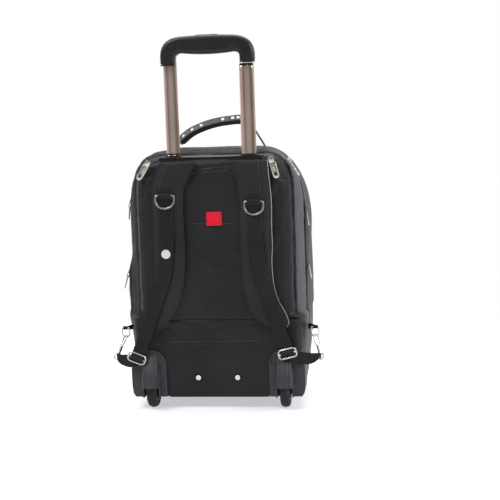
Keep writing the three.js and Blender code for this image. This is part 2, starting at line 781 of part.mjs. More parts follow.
harnessSides.forEach(({ name, side }) => {
  const outer = toSolid(slabAlongY(housingShape(side, 0), housingBack, housingFront));
  const innerShape = housingShape(side, -plasticWall);
  const inner = toSolid(slabAlongY(innerShape, housingBack + plasticWall, housingFront + 1));
  const centre = side * wheelX;
  const wellOuter = toSolid(cylinderAlong('x', wellRadius + plasticWall, (wellHalf + plasticWall) * 2, 22))
    .translate(centre, wheelY, wheelRadius);
  const reach = wellHalf + plasticWall;
  const fender = toSolid(slabAlongX(fenderShape(), centre - reach, centre + reach));
  const above = block(centre - reach, centre + reach, housingBack, housingFront - 1, bagBottom, farZ);
  const well = toSolid(cylinderAlong('x', wellRadius, wellHalf * 2, 22))
    .translate(centre, wheelY, wheelRadius);
  const mouth = block(centre - wellHalf, centre + wellHalf, -farX, wheelY, -1, slotTop);
  const floor = block(
    centre - wellHalf, centre + wellHalf, wheelY - wellRadius, wheelY + wellRadius, -1, wheelRadius,
  );
  const pin = toSolid(cylinderAlong('x', axleRadius, wellHalf * 2 + plasticWall, 14))
    .translate(centre, wheelY, wheelRadius);
  const housing = outer.subtract(inner)
    .add(wellOuter.intersect(above))
    .add(fender)
    .subtract(well)
    .subtract(mouth)
    .subtract(floor)
    .add(pin);
  addPiece(`wheel_housing_${name}`, housing, housingPlastic);

  const wheel = new THREE.Group();
  wheel.position.set(centre, wheelY, wheelRadius);
  wheel.rotation.z = -Math.PI / 2;
  bag.add(wheel);
  const tread = wheelRadius;
  const halfWide = wheelWidth / 2;
  const tyreProfile = [
    [hubRadius + gap, -halfWide + 2],
    [tread - 3, -halfWide],
    [tread, -halfWide + 5],
    [tread, halfWide - 5],
    [tread - 3, halfWide],
    [hubRadius + gap, halfWide - 2],
  ];
  const hubBore = axleRadius + axleClearance;
  const hubProfile = [
    [hubBore, -halfWide],
    [hubBore + 5, -halfWide],
    [hubBore + 6, -halfWide + 5],
    [hubRadius, -halfWide + 2],
    [hubRadius, halfWide - 2],
    [hubBore + 6, halfWide - 5],
    [hubBore + 5, halfWide],
    [hubBore, halfWide],
  ];
  const turned = (profile, sides) => {
    const points = profile.map(([radius, across]) => new THREE.Vector2(radius, across));
    return toGeometry(toSolid(new THREE.LatheGeometry([...points, points[0]], sides)));
  };
  addPiece(`wheel_tyre_${name}`, turned(tyreProfile, 24), rubber, wheel);
  addPiece(`wheel_hub_${name}`, turned(hubProfile, 24), blackPlastic, wheel);
});

// Poles of the pull handle. Every stage is a rounded tube that fits the one outside it.
const tubeCorner = 1;
function tubeSection(stage) {
  const grow = stage * 2 * (gap + tubeWall);
  const width = innerTubeWidth + grow;
  const depth = innerTubeDepth + grow;
  const outline = roundedRectangle(width, depth, depth * 0.42);
  const bore = roundedRectangle(width - 2 * tubeWall, depth - 2 * tubeWall, (depth - 2 * tubeWall) * 0.42);
  return { width, depth, outline, bore };
}

function tube(stage, from, to) {
  const { outline, bore } = tubeSection(stage);
  outline.holes.push(new THREE.Path(bore.getPoints(tubeCorner)));
  const geometry = new THREE.ExtrudeGeometry(outline, {
    depth: to - from, bevelEnabled: false, curveSegments: tubeCorner,
  });
  geometry.translate(0, 0, from);
  return geometry;
}

const clearTube = (stage, grow, from, to) => {
  const { width, depth } = tubeSection(stage);
  const shape = roundedRectangle(width + 2 * grow, depth + 2 * grow, (depth + 2 * grow) * 0.42);
  return toSolid(new THREE.ExtrudeGeometry(shape, {
    depth: to - from, bevelEnabled: false, curveSegments: tubeCorner,
  })).translate(0, 0, from);
};

const outerTop = bezelTop - bezelThick - gap;
const outerFoot = bagBottom + cloth + gap;
const collarTop = gripClearHeight - gap;
const midTop = collarTop - collarHeight + 2;
const midFoot = outerTop - stageEngaged;
const midDown = stageTravel;
const innerFoot = midTop - stageTravel - stageEngaged;
const poles = [
  { name: 'left', side: -1, drop: midDown },
  { name: 'right', side: 1, drop: 0 },
];
poles.forEach(({ name, side, drop }) => {
  const pole = new THREE.Group();
  pole.position.set(side * poleSpacing / 2, poleY, 0);
  bag.add(pole);
  addPiece(`outer_tube_${name}`, tube(2, outerFoot, outerTop), anodised, pole);
  addPiece(`mid_tube_${name}`, tube(1, midFoot - drop, midTop - drop), anodised, pole);
  addPiece(`inner_tube_${name}`, tube(0, innerFoot, gripClearHeight + socketDepth - gap), anodised, pole);
  const { width, depth } = tubeSection(1);
  const cap = new THREE.ExtrudeGeometry(roundedRectangle(width, depth, depth * 0.42), {
    depth: collarHeight - 2 - gap, bevelEnabled: false, curveSegments: tubeCorner,
  });
  const collar = toSolid(cap).translate(0, 0, midTop + gap).subtract(clearTube(0, gap, 0, farZ));
  addPiece(`tube_collar_${name}`, collar.translate(0, 0, -drop), blackPlastic, pole);
});

// Top bezel: the moulded plate that the poles come out of, with a low lip round each.
const bezelPlate = block(-bezelHalf, bezelHalf, bezelFrom, bezelTo, bezelTop - bezelThick, bezelTop);
const bezel = poles.reduce((solid, { side }) => {
  const place = [side * poleSpacing / 2, poleY, 0];
  const lip = clearTube(1, 2.4, bezelTop - 1, bezelTop + bezelLip).translate(place);
  return solid.add(lip).subtract(clearTube(1, gap, 0, farZ).translate(place));
}, bezelPlate);
addPiece('top_bezel', bezel, blackPlastic);

// Grip: one moulded bar with a belly under its middle and two arms that take the inner tubes.
const grip = new THREE.Group();
grip.position.set(0, poleY, 0);
bag.add(grip);
const gripHalf = gripWidth / 2;
const gripShape = new THREE.Shape();
const armInner = gripHalf - gripArm;
const crook = 12;
const low = gripClearHeight;
const inset = gripRound;
const side = gripHalf - inset;
const shoulder = gripHalf - gripCorner - inset;
const shoulderTop = gripTop - inset - 1;
const sideTop = gripTop - gripCorner - 3;
const crookX = armInner - crook;
const crookTop = gripTop - gripEnds + inset;
const bellyLow = crookTop - 2 * (gripBelly - gripEnds);
gripShape.moveTo(-side, low + inset);
gripShape.lineTo(-side, sideTop);
gripShape.quadraticCurveTo(-side, gripTop - inset - 3, -shoulder, shoulderTop);
gripShape.quadraticCurveTo(0, shoulderTop + 2, shoulder, shoulderTop);
gripShape.quadraticCurveTo(side, gripTop - inset - 3, side, sideTop);
gripShape.lineTo(side, low + inset);
gripShape.lineTo(armInner + inset, low + inset);
gripShape.quadraticCurveTo(armInner + inset, crookTop, crookX, crookTop);
gripShape.quadraticCurveTo(0, bellyLow, -crookX, crookTop);
gripShape.quadraticCurveTo(-armInner - inset, crookTop, -armInner - inset, low + inset);
gripShape.closePath();
const gripBody = toSolid(slabAlongY(gripShape, -gripDepth / 2 + inset, gripDepth / 2 - inset, {
  bevelEnabled: true, bevelThickness: inset, bevelSize: inset, bevelSegments: 1, curveSegments: 4,
}));
const buttonSolid = (grow, from, to) => {
  const wide = buttonWidth + 2 * grow;
  const shape = roundedRectangle(buttonLength + 2 * grow, wide, wide / 2);
  return toSolid(new THREE.ExtrudeGeometry(shape, {
    depth: to - from, bevelEnabled: false, curveSegments: 4,
  })).translate(0, 0, from);
};
const buttonTop = gripTop + buttonProud;
const buttonFoot = buttonTop - buttonHeight;
const socket = clearTube(0, gap, 0, low + socketDepth);
const gripSolid = gripBody
  .subtract(buttonSolid(gap, buttonFoot - buttonTravel - gap, farZ))
  .subtract(socket.translate(-poleSpacing / 2, 0, 0))
  .subtract(socket.translate(poleSpacing / 2, 0, 0));
addPiece('grip', gripSolid, blackPlastic, grip);
addPiece('release_button', buttonSolid(0, buttonFoot, buttonTop), blackPlastic, grip);

// Points along a smooth line through hand-placed centres, with the width carried along.
function smoothRows(rows, steps) {
  const curve = new THREE.CatmullRomCurve3(rows.map((row) => row.centre));
  const result = [];
  for (let step = 0; step <= steps; step += 1) {
    const t = step / steps;
    const place = t * (rows.length - 1);
    const index = Math.min(Math.floor(place), rows.length - 2);
    const share = place - index;
    const across = rows[index].across.clone().lerp(rows[index + 1].across, share).normalize();
    result.push({
      centre: curve.getPoint(t),
      tangent: curve.getTangent(t),
      across,
      wide: mix(rows[index].wide, rows[index + 1].wide, share),
    });
  }
  return result;
}

// A flat strap along smoothed rows, with square edges.
function strapAlong(rows, steps, thick) {
  const rings = smoothRows(rows, steps).map(({ centre, tangent, across, wide }) => {
    const normal = new THREE.Vector3().crossVectors(tangent, across).normalize();
    return [[1, 1], [-1, 1], [-1, -1], [1, -1]].map(([u, v]) => centre.clone()
      .addScaledVector(across, u * wide / 2)
      .addScaledVector(normal, v * thick / 2));
  });
  return loft(rings);
}

// Carry handle: webbing over the top of the bag, through a moulded grip with vents.
const carrySteps = 18;
const depthWise = new THREE.Vector3(0, 1, 0);
const carryLine = carryRows.map(({ along, rise }) => ({
  centre: new THREE.Vector3(along * carrySpan / 2, carryY, bagTop + rise * carryRise),
  across: depthWise,
  wide: carryWebWidth,
}));
addPiece('carry_strap', strapAlong(carryLine, carrySteps, webThick), webbing);
const carryGripSection = [
  [-0.5, -0.5], [0.5, -0.5], [0.5, -0.2], [0.28, 0.5], [-0.28, 0.5], [-0.5, -0.2],
];
const carryStations = smoothRows(carryLine, carrySteps);
const stationOf = (row) => Math.round(row * carrySteps / (carryRows.length - 1));
const gripStations = carryStations.slice(stationOf(carryGripFrom), stationOf(carryGripTo) + 1);
const upAt = ({ tangent }) => new THREE.Vector3(-tangent.z, 0, tangent.x).normalize();
const carryBody = toSolid(loft(gripStations.map((station) => {
  const up = upAt(station);
  return carryGripSection.map(([u, v]) => station.centre.clone()
    .addScaledVector(depthWise, u * carryGripDepth)
    .addScaledVector(up, (v + carryGripSeat) * carryGripHeight));
})));
const channelRows = carryLine.map((row) => ({ ...row, wide: carryWebWidth + 2 * gap }));
const channel = toSolid(strapAlong(channelRows, carrySteps, webThick + 2 * gap));
const vents = [];
[0.2, 0.78].forEach((middle) => {
  for (let i = 0; i < ventCount; i += 1) {
    const share = middle + (i - (ventCount - 1) / 2) * 0.1;
    const station = gripStations[Math.round(share * (gripStations.length - 1))];
    const vent = new THREE.BoxGeometry(ventLength, carryGripDepth * 2, ventHeight);
    vent.rotateY(-Math.atan2(station.tangent.z, station.tangent.x));
    const place = station.centre.clone().addScaledVector(upAt(station), carryGripHeight * 0.42);
    vent.translate(place.x, place.y, place.z);
    vents.push(toSolid(vent));
  }
});
const carryGrip = vents.reduce((solid, vent) => solid.subtract(vent), carryBody.subtract(channel));
addPiece('carry_grip', carryGrip, rubber);

// Wire bent into a closed loop in the X-Z plane, through a list of points.
function wireLoop(points, wire, sides) {
  const rings = points.map((point, i) => {
    const before = points[(i + points.length - 1) % points.length];
    const after = points[(i + 1) % points.length];
    const tangent = new THREE.Vector2().subVectors(after, before).normalize();
    const ring = [];
    for (let side = 0; side < sides; side += 1) {
      const angle = (side + 0.5) / sides * Math.PI * 2;
      const outward = wire / 2 * Math.cos(angle);
      ring.push(new THREE.Vector3(
        point.x + tangent.y * outward,
        wire / 2 * Math.sin(angle),
        point.y - tangent.x * outward,
      ));
    }
    return ring;
  });
  return loft(rings, true);
}

// Centre line of a D-ring whose straight bar lies on the X axis and whose bow hangs below it.
function dOutline(width, drop) {
  const w = width / 2;
  const r = w * 0.3;
  const arcs = [
    { x: w - r, z: -r, wide: r, tall: r, from: 0.5, to: 0, steps: 3 },
    { x: 0, z: -drop / 2, wide: w, tall: drop / 2, from: 0, to: -1, steps: 9 },
    { x: -w + r, z: -r, wide: r, tall: r, from: 1, to: 0.5, steps: 3 },
  ];
  return arcs.flatMap(({ x, z, wide, tall, from, to, steps }) => Array.from({ length: steps + 1 }, (_, i) => {
    const angle = mix(from, to, i / steps) * Math.PI;
    return new THREE.Vector2(x + wide * Math.cos(angle), z + tall * Math.sin(angle));
  }));
}

function roundedOutline(width, height, radius) {
  const points = roundedRectangle(width, height, radius).getPoints(2);
  return points.filter((point, i) => point.distanceTo(points[(i + 1) % points.length]) > 0.6);
}

// Half width of the bag at a depth and a height.
function sideOfBag(y, z) {
  const ring = bagRing(y);
  const above = ring.findIndex((point, i) => i > 1 && point.z > z);
  const share = (z - ring[above - 1].z) / (ring[above].z - ring[above - 1].z);
  return mix(ring[above - 1].x, ring[above].x, share);
}

const padBack = -padGap;
const padFace = padBack - padThick;
const webY = padFace - 3 * gap - webThick / 2;
const inPlane = (dx, dz) => new THREE.Vector3(dz, 0, -dx).normalize();

harnessSides.forEach((row) => {
  const { name, side, sway } = row;

  // Padded strap: flat on the back, with rounded edges, from the top seam to its lower point.
  const padRings = padRows.map(({ height, inner, outer, swing }) => {
    const x0 = inner * bagHalf + sway * swing;
    const x1 = outer * bagHalf + sway * swing;
    const edge = padThick * 0.3;
    const outline = [
      [x0 + edge, padBack], [x1 - edge, padBack], [x1, padBack - edge], [x1, padFace + edge],
      [x1 - edge, padFace], [x0 + edge, padFace], [x0, padFace + edge], [x0, padBack - edge],
    ];
    return outline.map(([x, y]) => new THREE.Vector3(side * x, y, height * bagTop));
  });
  addPiece(`strap_pad_${name}`, loft(padRings), blackCloth);

  // Webbing over the pad, down through the slide, with the keeper of the D-ring at its top.
  const turn = THREE.MathUtils.degToRad(row.slideTurn) * -side;
  const slideAcross = new THREE.Vector3(Math.cos(turn), 0, Math.sin(turn)).multiplyScalar(side);
  const slideUp = new THREE.Vector3(-Math.sin(turn), 0, Math.cos(turn));
  const slideCentre = new THREE.Vector3(side * row.slideX * bagHalf, slideY, row.slideZ * bagTop);
  const ringX = side * row.ringX * bagHalf;
  const ringZ = row.ringZ * bagTop;
  const onStrap = webRows.map(({ across, height, lift, swing }) => new THREE.Vector3(
    side * (across * bagHalf + sway * swing),
    webY - lift * padThick,
    height * bagTop,
  ));
  const barStep = (slideHeight - slideWire) / 2;
  const weave = slideWire / 2 + webThick / 2 + 2 * gap;
  const throughSlide = [1.5, 1, 0.5, 0, -0.5, -1, -1.45].map((step) => slideCentre.clone()
    .addScaledVector(slideUp, step * barStep)
    .add(new THREE.Vector3(0, -weave * Math.cos(step * Math.PI), 0)));
  throughSlide[0].y = slideY + weave;
  throughSlide[6].y = slideY + weave;
  const webTop = new THREE.Vector3(ringX, webY, ringZ - keeperHeight * 0.3);
  const webPath = [webTop, ...onStrap, ...throughSlide];
  const webRowsPlaced = webPath.map((centre, i) => {
    const before = webPath[Math.max(0, i - 1)];
    const after = webPath[Math.min(webPath.length - 1, i + 1)];
    const acrossPath = inPlane(after.x - before.x, after.z - before.z).multiplyScalar(-side);
    return { centre, across: i <= onStrap.length ? acrossPath : slideAcross, wide: webWidth };
  });
  const web = toSolid(strapAlong(webRowsPlaced, 30, webThick));
  const keeperY = webY - webThick / 2 - ringWire / 2 - gap;
  const ringPlace = new THREE.Vector3(ringX, keeperY, ringZ);
  const keeperDeep = ringWire + 2 * gap + 2 * webThick;
  const keeper = block(
    ringPlace.x - webWidth / 2, ringPlace.x + webWidth / 2,
    keeperY - keeperDeep / 2, padFace - gap,
    ringZ - keeperHeight / 2, ringZ + keeperHeight / 2,
  );
  const barHole = toSolid(cylinderAlong('x', ringWire / 2 + gap, webWidth * 2, 12))
    .translate(ringX, keeperY, ringZ);
  addPiece(`strap_webbing_${name}`, web.add(keeper).subtract(barHole), webbing);

  const ring = addPiece(
    `strap_ring_${name}`,
    wireLoop(dOutline(ringWidth - ringWire, ringDrop - ringWire), ringWire, 6),
    steel,
  );
  ring.position.copy(ringPlace);

  // Slide: a rounded frame with a middle bar.
  const frameOutline = roundedOutline(slideLength - slideWire, slideHeight - slideWire, 5);
  const frame = toSolid(wireLoop(frameOutline, slideWire, 5));
  const bar = toSolid(cylinderAlong('x', slideWire / 2 * 0.95, slideLength - slideWire, 8));
  const slide = addPiece(`strap_slide_${name}`, frame.add(bar), steel);
  slide.position.copy(slideCentre);
  slide.rotation.y = -turn;

  // Ring in the side seam: a folded webbing tab that holds a small D-ring.
  const seamY = mainZipTo + 10;
  const tabZ = row.tabZ * bagTop;
  const tabTop = new THREE.Vector3(side * (bagHalf + row.tabOut), sideRingY, tabZ);
  const tabRoot = new THREE.Vector3(
    side * (sideOfBag(seamY + webThick, tabZ) + gap + webThick), seamY, tabZ - 2,
  );
  const upright = new THREE.Vector3(0, 0, 1);
  const outward = new THREE.Vector3(1, 0, 0);
  const tabStrap = toSolid(strapAlong([
    { centre: tabRoot, across: upright, wide: tabWidth },
    { centre: tabRoot.clone().lerp(tabTop, 0.5), across: upright.clone().lerp(outward, 0.5), wide: tabWidth },
    { centre: tabTop, across: outward, wide: tabWidth },
  ], 6, webThick * 2));
  const boreRadius = hookWire / 2 + tabBoreGap;
  const tabFold = toSolid(cylinderAlong('x', boreRadius + webThick, tabWidth, 12))
    .translate(tabTop.toArray());
  const tabBore = toSolid(cylinderAlong('x', boreRadius, tabWidth * 3, 12))
    .translate(tabTop.toArray());
  addPiece(`ring_tab_${name}`, tabStrap.add(tabFold).subtract(tabBore), webbing);
  const sideRing = addPiece(
    `hook_ring_${name}`,
    wireLoop(dOutline(sideRingWidth, sideRingDrop), hookWire, 5),
    steel,
  );
  sideRing.position.copy(tabTop);

  // Snap hook: an eye, a swivel barrel and a closed loop that hangs in the side ring.
  const loopTop = tabTop.clone().add(new THREE.Vector3(0, 0, -sideRingDrop + hookWire * 1.5));
  const eyePlace = new THREE.Vector3(side * (bagHalf + hookOut), hookEyeY, tabZ - hookDrop);
  const axis = loopTop.clone().sub(eyePlace).normalize();
  const hook = new THREE.Group();
  hook.position.copy(loopTop).addScaledVector(axis, -hookLength);
  hook.quaternion.setFromUnitVectors(new THREE.Vector3(0, 0, 1), axis);
  bag.add(hook);
  const eye = toSolid(wireLoop(roundedOutline(hookEye * 2, hookEye * 2, hookEye * 0.98), hookWire, 5));
  const loopMiddle = hookLength - hookLoopTall;
  const loopOutline = roundedOutline(hookLoopWide * 2, hookLoopTall * 2, hookLoopWide * 0.95);
  const loopWire = wireLoop(loopOutline, hookWire, 5);
  loopWire.rotateZ(side * Math.PI / 3);
  loopWire.translate(0, 0, loopMiddle);
  const barrelFrom = hookEye - 1;
  const barrelTo = loopMiddle - hookLoopTall + 1;
  const barrel = toSolid(cylinderAlong('z', hookWire * 1.25, barrelTo - barrelFrom, 10))
    .translate(0, 0, (barrelFrom + barrelTo) / 2);
  addPiece(`snap_hook_${name}`, toSolid(loopWire).add(barrel).add(eye), steel, hook);

  // Webbing from behind the slide out to the hook's eye, where it narrows and folds through.
  const through = new THREE.Vector3(0, 1, 0).applyQuaternion(hook.quaternion);
  const eyeAt = (past) => hook.position.clone().addScaledVector(through, past);
  const start = slideCentre.clone().addScaledVector(slideUp, -barStep * 0.8);
  start.y = slideY + weave + webThick + 2 * gap;
  const meet = eyeAt(-8);
  const fold = webWidth * 0.26;
  const between = (share, sag, wide, lean) => ({
    centre: start.clone().lerp(meet, share).add(new THREE.Vector3(0, 0, -sag)),
    across: new THREE.Vector3(side * lean, 0, 1).normalize(),
    wide,
  });
  const hookWeb = strapAlong([
    between(0, 0, webWidth, -0.3),
    between(0.35, 4, webWidth, -0.1),
    between(0.7, 5, webWidth * 0.85, 0),
    between(0.93, 1, webWidth * 0.45, 0),
    { centre: eyeAt(-3.5), across: upright, wide: fold },
    { centre: eyeAt(0), across: upright, wide: fold },
    { centre: eyeAt(3.5), across: upright, wide: fold },
  ], 18, webThick);
  addPiece(`hook_webbing_${name}`, hookWeb, webbing);
});

// Plain round badge on the left strap's webbing, and the plain red tab on the back.
const badgeAcross = 0.475;
const badgeHeight = 0.612;
const redTabAcross = 4;
const redTabPlace = 0.74;
const badgeX = -(badgeAcross * bagHalf + 0.25 * harnessSides[0].sway);
const badge = addPiece('strap_badge', cylinderAlong('y', badgeRadius, badgeThick, 16), steel);
badge.position.set(badgeX, webY - webThick / 2 - gap - badgeThick / 2, bagTop * badgeHeight);
const redTab = addPiece('fabric_tab', new THREE.BoxGeometry(redTabWidth, webThick, redTabHeight), redCloth);
redTab.position.set(redTabAcross, -gap - webThick / 2, bagTop * redTabPlace);

// Small pulls that hang at the bag's sides.
sidePulls.forEach(({ name, side, deep, height, lean }) => {
  const y = deep * bagDepth;
  const z = height * bagTop;
  const shape = roundedRectangle(sidePullWidth, sidePullLength, sidePullWidth * 0.45, 0, -sidePullLength / 2);
  const pull = new THREE.ExtrudeGeometry(shape, { depth: webThick, bevelEnabled: false, curveSegments: 2 });
  pull.rotateX(Math.PI / 2);
  pull.rotateZ(Math.PI / 2);
  pull.translate(side > 0 ? 0 : -webThick, 0, 0);
  const mesh = addPiece(`side_pull_${name}`, pull, steel);
  mesh.position.set(side * (sideOfBag(y + sidePullWidth / 2, z) + gap), y, z);
  mesh.rotation.y = -side * THREE.MathUtils.degToRad(lean);
});

// The frame's origin is under the middle of the whole, on the ground.
const rearReach = housingBack - fenderBulge;
const frontReach = bagDepth + gap + lowerPocketDepth;
bag.position.y = -(rearReach + frontReach) / 2;

export default bag;
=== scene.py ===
# Wheeled backpack seen from its harness side, with its pull handle half out.
# Metres, in the frame's own axes: X to the right of the harness, Y towards the front pockets, Z up.
import json
import math

import bmesh
import bpy
import numpy as np
from mathutils import Matrix, Vector, noise

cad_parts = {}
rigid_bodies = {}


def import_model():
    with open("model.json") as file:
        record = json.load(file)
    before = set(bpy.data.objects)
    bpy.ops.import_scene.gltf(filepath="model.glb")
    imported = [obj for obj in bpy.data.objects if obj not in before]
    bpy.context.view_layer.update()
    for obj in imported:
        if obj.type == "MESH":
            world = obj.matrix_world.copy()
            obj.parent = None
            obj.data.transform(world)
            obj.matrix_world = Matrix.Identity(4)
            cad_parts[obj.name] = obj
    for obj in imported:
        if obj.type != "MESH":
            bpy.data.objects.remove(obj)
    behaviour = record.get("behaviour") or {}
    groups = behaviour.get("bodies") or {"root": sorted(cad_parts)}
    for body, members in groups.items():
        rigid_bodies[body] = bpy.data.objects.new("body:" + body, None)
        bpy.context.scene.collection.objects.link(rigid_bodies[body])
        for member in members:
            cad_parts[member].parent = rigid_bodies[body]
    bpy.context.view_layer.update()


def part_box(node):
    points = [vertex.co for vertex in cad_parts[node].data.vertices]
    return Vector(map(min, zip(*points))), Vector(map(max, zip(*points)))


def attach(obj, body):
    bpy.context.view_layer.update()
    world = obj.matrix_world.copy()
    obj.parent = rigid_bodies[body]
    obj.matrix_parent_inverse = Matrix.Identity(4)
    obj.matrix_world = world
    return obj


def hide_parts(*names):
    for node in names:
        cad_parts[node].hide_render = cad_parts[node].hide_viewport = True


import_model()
bpy.ops.object.select_all(action="DESELECT")
mm = 0.001

# Camera
# The photograph's own view: a long lens a little to the right of the harness and above it,
# tipped by a hand-held roll.
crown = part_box("back_panel")[0][1]
camera_turn = math.radians(6.80)
camera_rise = math.radians(7.89)
camera_roll = math.radians(-1.92)
camera_away = 2.0
camera_aim = Vector((0.069, crown, 0.303))
camera_back = Vector((
    math.sin(camera_turn) * math.cos(camera_rise),
    -math.cos(camera_turn) * math.cos(camera_rise),
    math.sin(camera_rise),
))
level_right = (-camera_back).cross(Vector((0, 0, 1))).normalized()
level_up = level_right.cross(-camera_back)
camera_right = level_right * math.cos(camera_roll) + level_up * math.sin(camera_roll)
camera_up = level_up * math.cos(camera_roll) - level_right * math.sin(camera_roll)
bpy.ops.object.camera_add(location=camera_aim + camera_back * camera_away)
camera = bpy.context.object
camera.rotation_mode = "QUATERNION"
camera.rotation_quaternion = Matrix((camera_right, camera_up, camera_back)).transposed().to_quaternion()
sensor_width, photo_width, focal_pixels = 36, 500, 1078.24
camera.data.sensor_width = sensor_width
camera.data.lens = sensor_width * focal_pixels / photo_width
bpy.context.scene.camera = camera

# Studio
# A pale floor that ends just behind the bag, where the white backdrop takes over. The room is
# darker on the camera's side, and large soft lights stand over it.
bpy.ops.mesh.primitive_plane_add(size=3.4, location=(0, -1.0, 0))
studio_floor = bpy.context.object
studio_floor.name = "studio_floor"
floor_finish = bpy.data.materials.new("pale_floor")
floor_finish.use_nodes = True
floor_shader = floor_finish.node_tree.nodes["Principled BSDF"]
floor_shader.inputs["Base Color"].default_value = (0.5, 0.49, 0.51, 1)
floor_shader.inputs["Emission Color"].default_value = (0.97, 0.96, 1.0, 1)
floor_shader.inputs["Emission Strength"].default_value = 0.52
floor_shader.inputs["Roughness"].default_value = 0.7
studio_floor.data.materials.append(floor_finish)
world = bpy.data.worlds.new("studio")
bpy.context.scene.world = world
world.use_nodes = True
sky = world.node_tree
facing = sky.nodes.new("ShaderNodeTexCoord")
parts = sky.nodes.new("ShaderNodeSeparateXYZ")
sky.links.new(facing.outputs["Generated"], parts.inputs["Vector"])
fade = sky.nodes.new("ShaderNodeMapRange")
fade.inputs["From Min"].default_value = -0.3
fade.inputs["From Max"].default_value = 0.25
fade.inputs["To Min"].default_value = 0.2
fade.inputs["To Max"].default_value = 1.0
sky.links.new(parts.outputs["Y"], fade.inputs["Value"])
sky.nodes["Background"].inputs["Color"].default_value = (1.0, 1.0, 1.0, 1)
sky.links.new(fade.outputs["Result"], sky.nodes["Background"].inputs["Strength"])
bpy.context.scene.view_settings.view_transform = "Standard"


def studio_light(place, aim, width, power):
    bpy.ops.object.light_add(type="AREA", location=place)
    lamp = bpy.context.object
    lamp.data.shape = "RECTANGLE"
    lamp.data.size = width
    lamp.data.size_y = width * 0.7
    lamp.data.energy = power
    lamp.rotation_mode = "QUATERNION"
    lamp.rotation_quaternion = (Vector(aim) - Vector(place)).to_track_quat("-Z", "Y")


studio_light((-1.1, -1.0, 2.1), (0, 0, 0.3), 1.0, 40)
studio_light((1.7, -0.6, 1.3), (0, 0, 0.3), 0.8, 22)
studio_light((0.1, 0.5, 2.3), (0, 0, 0.3), 1.6, 42)

# Soft bag
# Nylon cloth sewn round in bands from the padded back to the front wall. Its outline at any
# depth is a flat bottom, sides that step in above the boot seam, and round top corners.
shell_low, shell_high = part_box("main_shell")
bag_half = shell_high[0] / mm
bag_top = shell_high[2] / mm
bag_bottom = shell_low[2] / mm
bag_height = bag_top - bag_bottom
bag_depth = (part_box("front_wall")[1][1] - crown) / mm
panel_thick = (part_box("back_panel")[1][1] - crown) / mm
boot_top = 176
boot_taper = 14
cloth_wall = 1.6
seam_gap = 0.3
outline_columns = ("at", "waist", "foot", "top", "bottom", "wide", "tall", "square")
outline_rows = (
    (0.05, 0.785, 0.893, 0.961, 0.0, 0.35, 0.15, 2.5),
    (0.075, 0.797, 0.91, 0.967, 0.0, 0.37, 0.165, 2.5),
    (0.155, 0.838, 0.935, 0.98, 0.0, 0.35, 0.15, 2.5),
    (0.2, 0.875, 0.95, 0.988, 0.0, 0.39, 0.18, 2.4),
    (0.33, 0.952, 0.972, 0.996, 0.0, 0.48, 0.26, 2.25),
    (0.45, 0.984, 0.985, 1.0, 0.0, 0.55, 0.322, 2.13),
    (0.65, 1.0, 0.985, 1.0, 0.0, 0.55, 0.322, 2.13),
    (0.92, 0.987, 0.975, 0.993, 0.002, 0.55, 0.32, 2.13),
    (0.98, 0.955, 0.945, 0.972, 0.012, 0.54, 0.31, 2.13),
    (1.0, 0.91, 0.905, 0.945, 0.03, 0.52, 0.29, 2.13),
)


def outline_at(depth):
    """The outline's shares at a depth in millimetres, eased between the rows."""
    table = np.array(outline_rows)
    spread = np.clip(np.array([-3, -1.5, 0, 1.5, 3]) + depth, table[0, 0] * bag_depth, bag_depth)
    eased = [np.interp(spread / bag_depth, table[:, 0], table[:, i]).mean() for i in range(8)]
    return dict(zip(outline_columns, eased))


def left_slack(depth, z):
    """How far the left side sags outwards, low down, where the cloth has no frame."""
    deep = min(1, max(0, (depth - 44) / 36))
    low = min(1, max(0, (z - 118) / 52))
    high = min(1, max(0, (296 - z) / 44))
    eased = [share * share * (3 - 2 * share) for share in (deep, low, high)]
    return 9.5 * eased[0] * eased[1] * eased[2]


def outline_ring(depth, inset=0.0):
    """Points (x, z) round the bag at a depth, from the middle of the bottom up the right side."""
    row = outline_at(depth)
    waist = row["waist"] * bag_half - inset
    foot = row["foot"] * bag_half - inset
    top = bag_bottom + row["top"] * bag_height - inset
    bottom = bag_bottom + row["bottom"] * bag_height + inset
    wide = row["wide"] * waist
    tall = row["tall"] * bag_height
    corner = 14
    half = []

    def boot(z):
        return foot - boot_taper * ((boot_top - z) / (boot_top - bag_bottom)) ** 2

    low_edge = boot(bottom + corner)
    half += [(x, bottom) for x in np.linspace(0, low_edge - corner, 14)]
    for angle in np.linspace(0, math.pi / 2, 6)[1:]:
        half.append((
            low_edge - corner + corner * math.sin(angle), bottom + corner * (1 - math.cos(angle)),
        ))
    half += [(boot(z), z) for z in np.linspace(bottom + corner, boot_top - 5, 22)[1:]]
    for share in (0.25, 0.5, 0.75):
        stepped = share - math.sin(share * 2 * math.pi) / 9
        half.append((foot + (waist - foot) * stepped, boot_top - 5 + 10 * share))
    half += [(waist, z) for z in np.linspace(boot_top + 5, top - tall, 34)]
    for angle in np.linspace(0, math.pi / 2, 27)[1:]:
        half.append((
            waist - wide + wide * math.cos(angle) ** (2 / row["square"]),
            top - tall + tall * math.sin(angle) ** (2 / row["square"]),
        ))
    half += [(x, top) for x in np.linspace(waist - wide, 0, 16)[1:]]
    return half + [(-x - left_slack(depth, z), z) for x, z in half[-2:0:-1]]


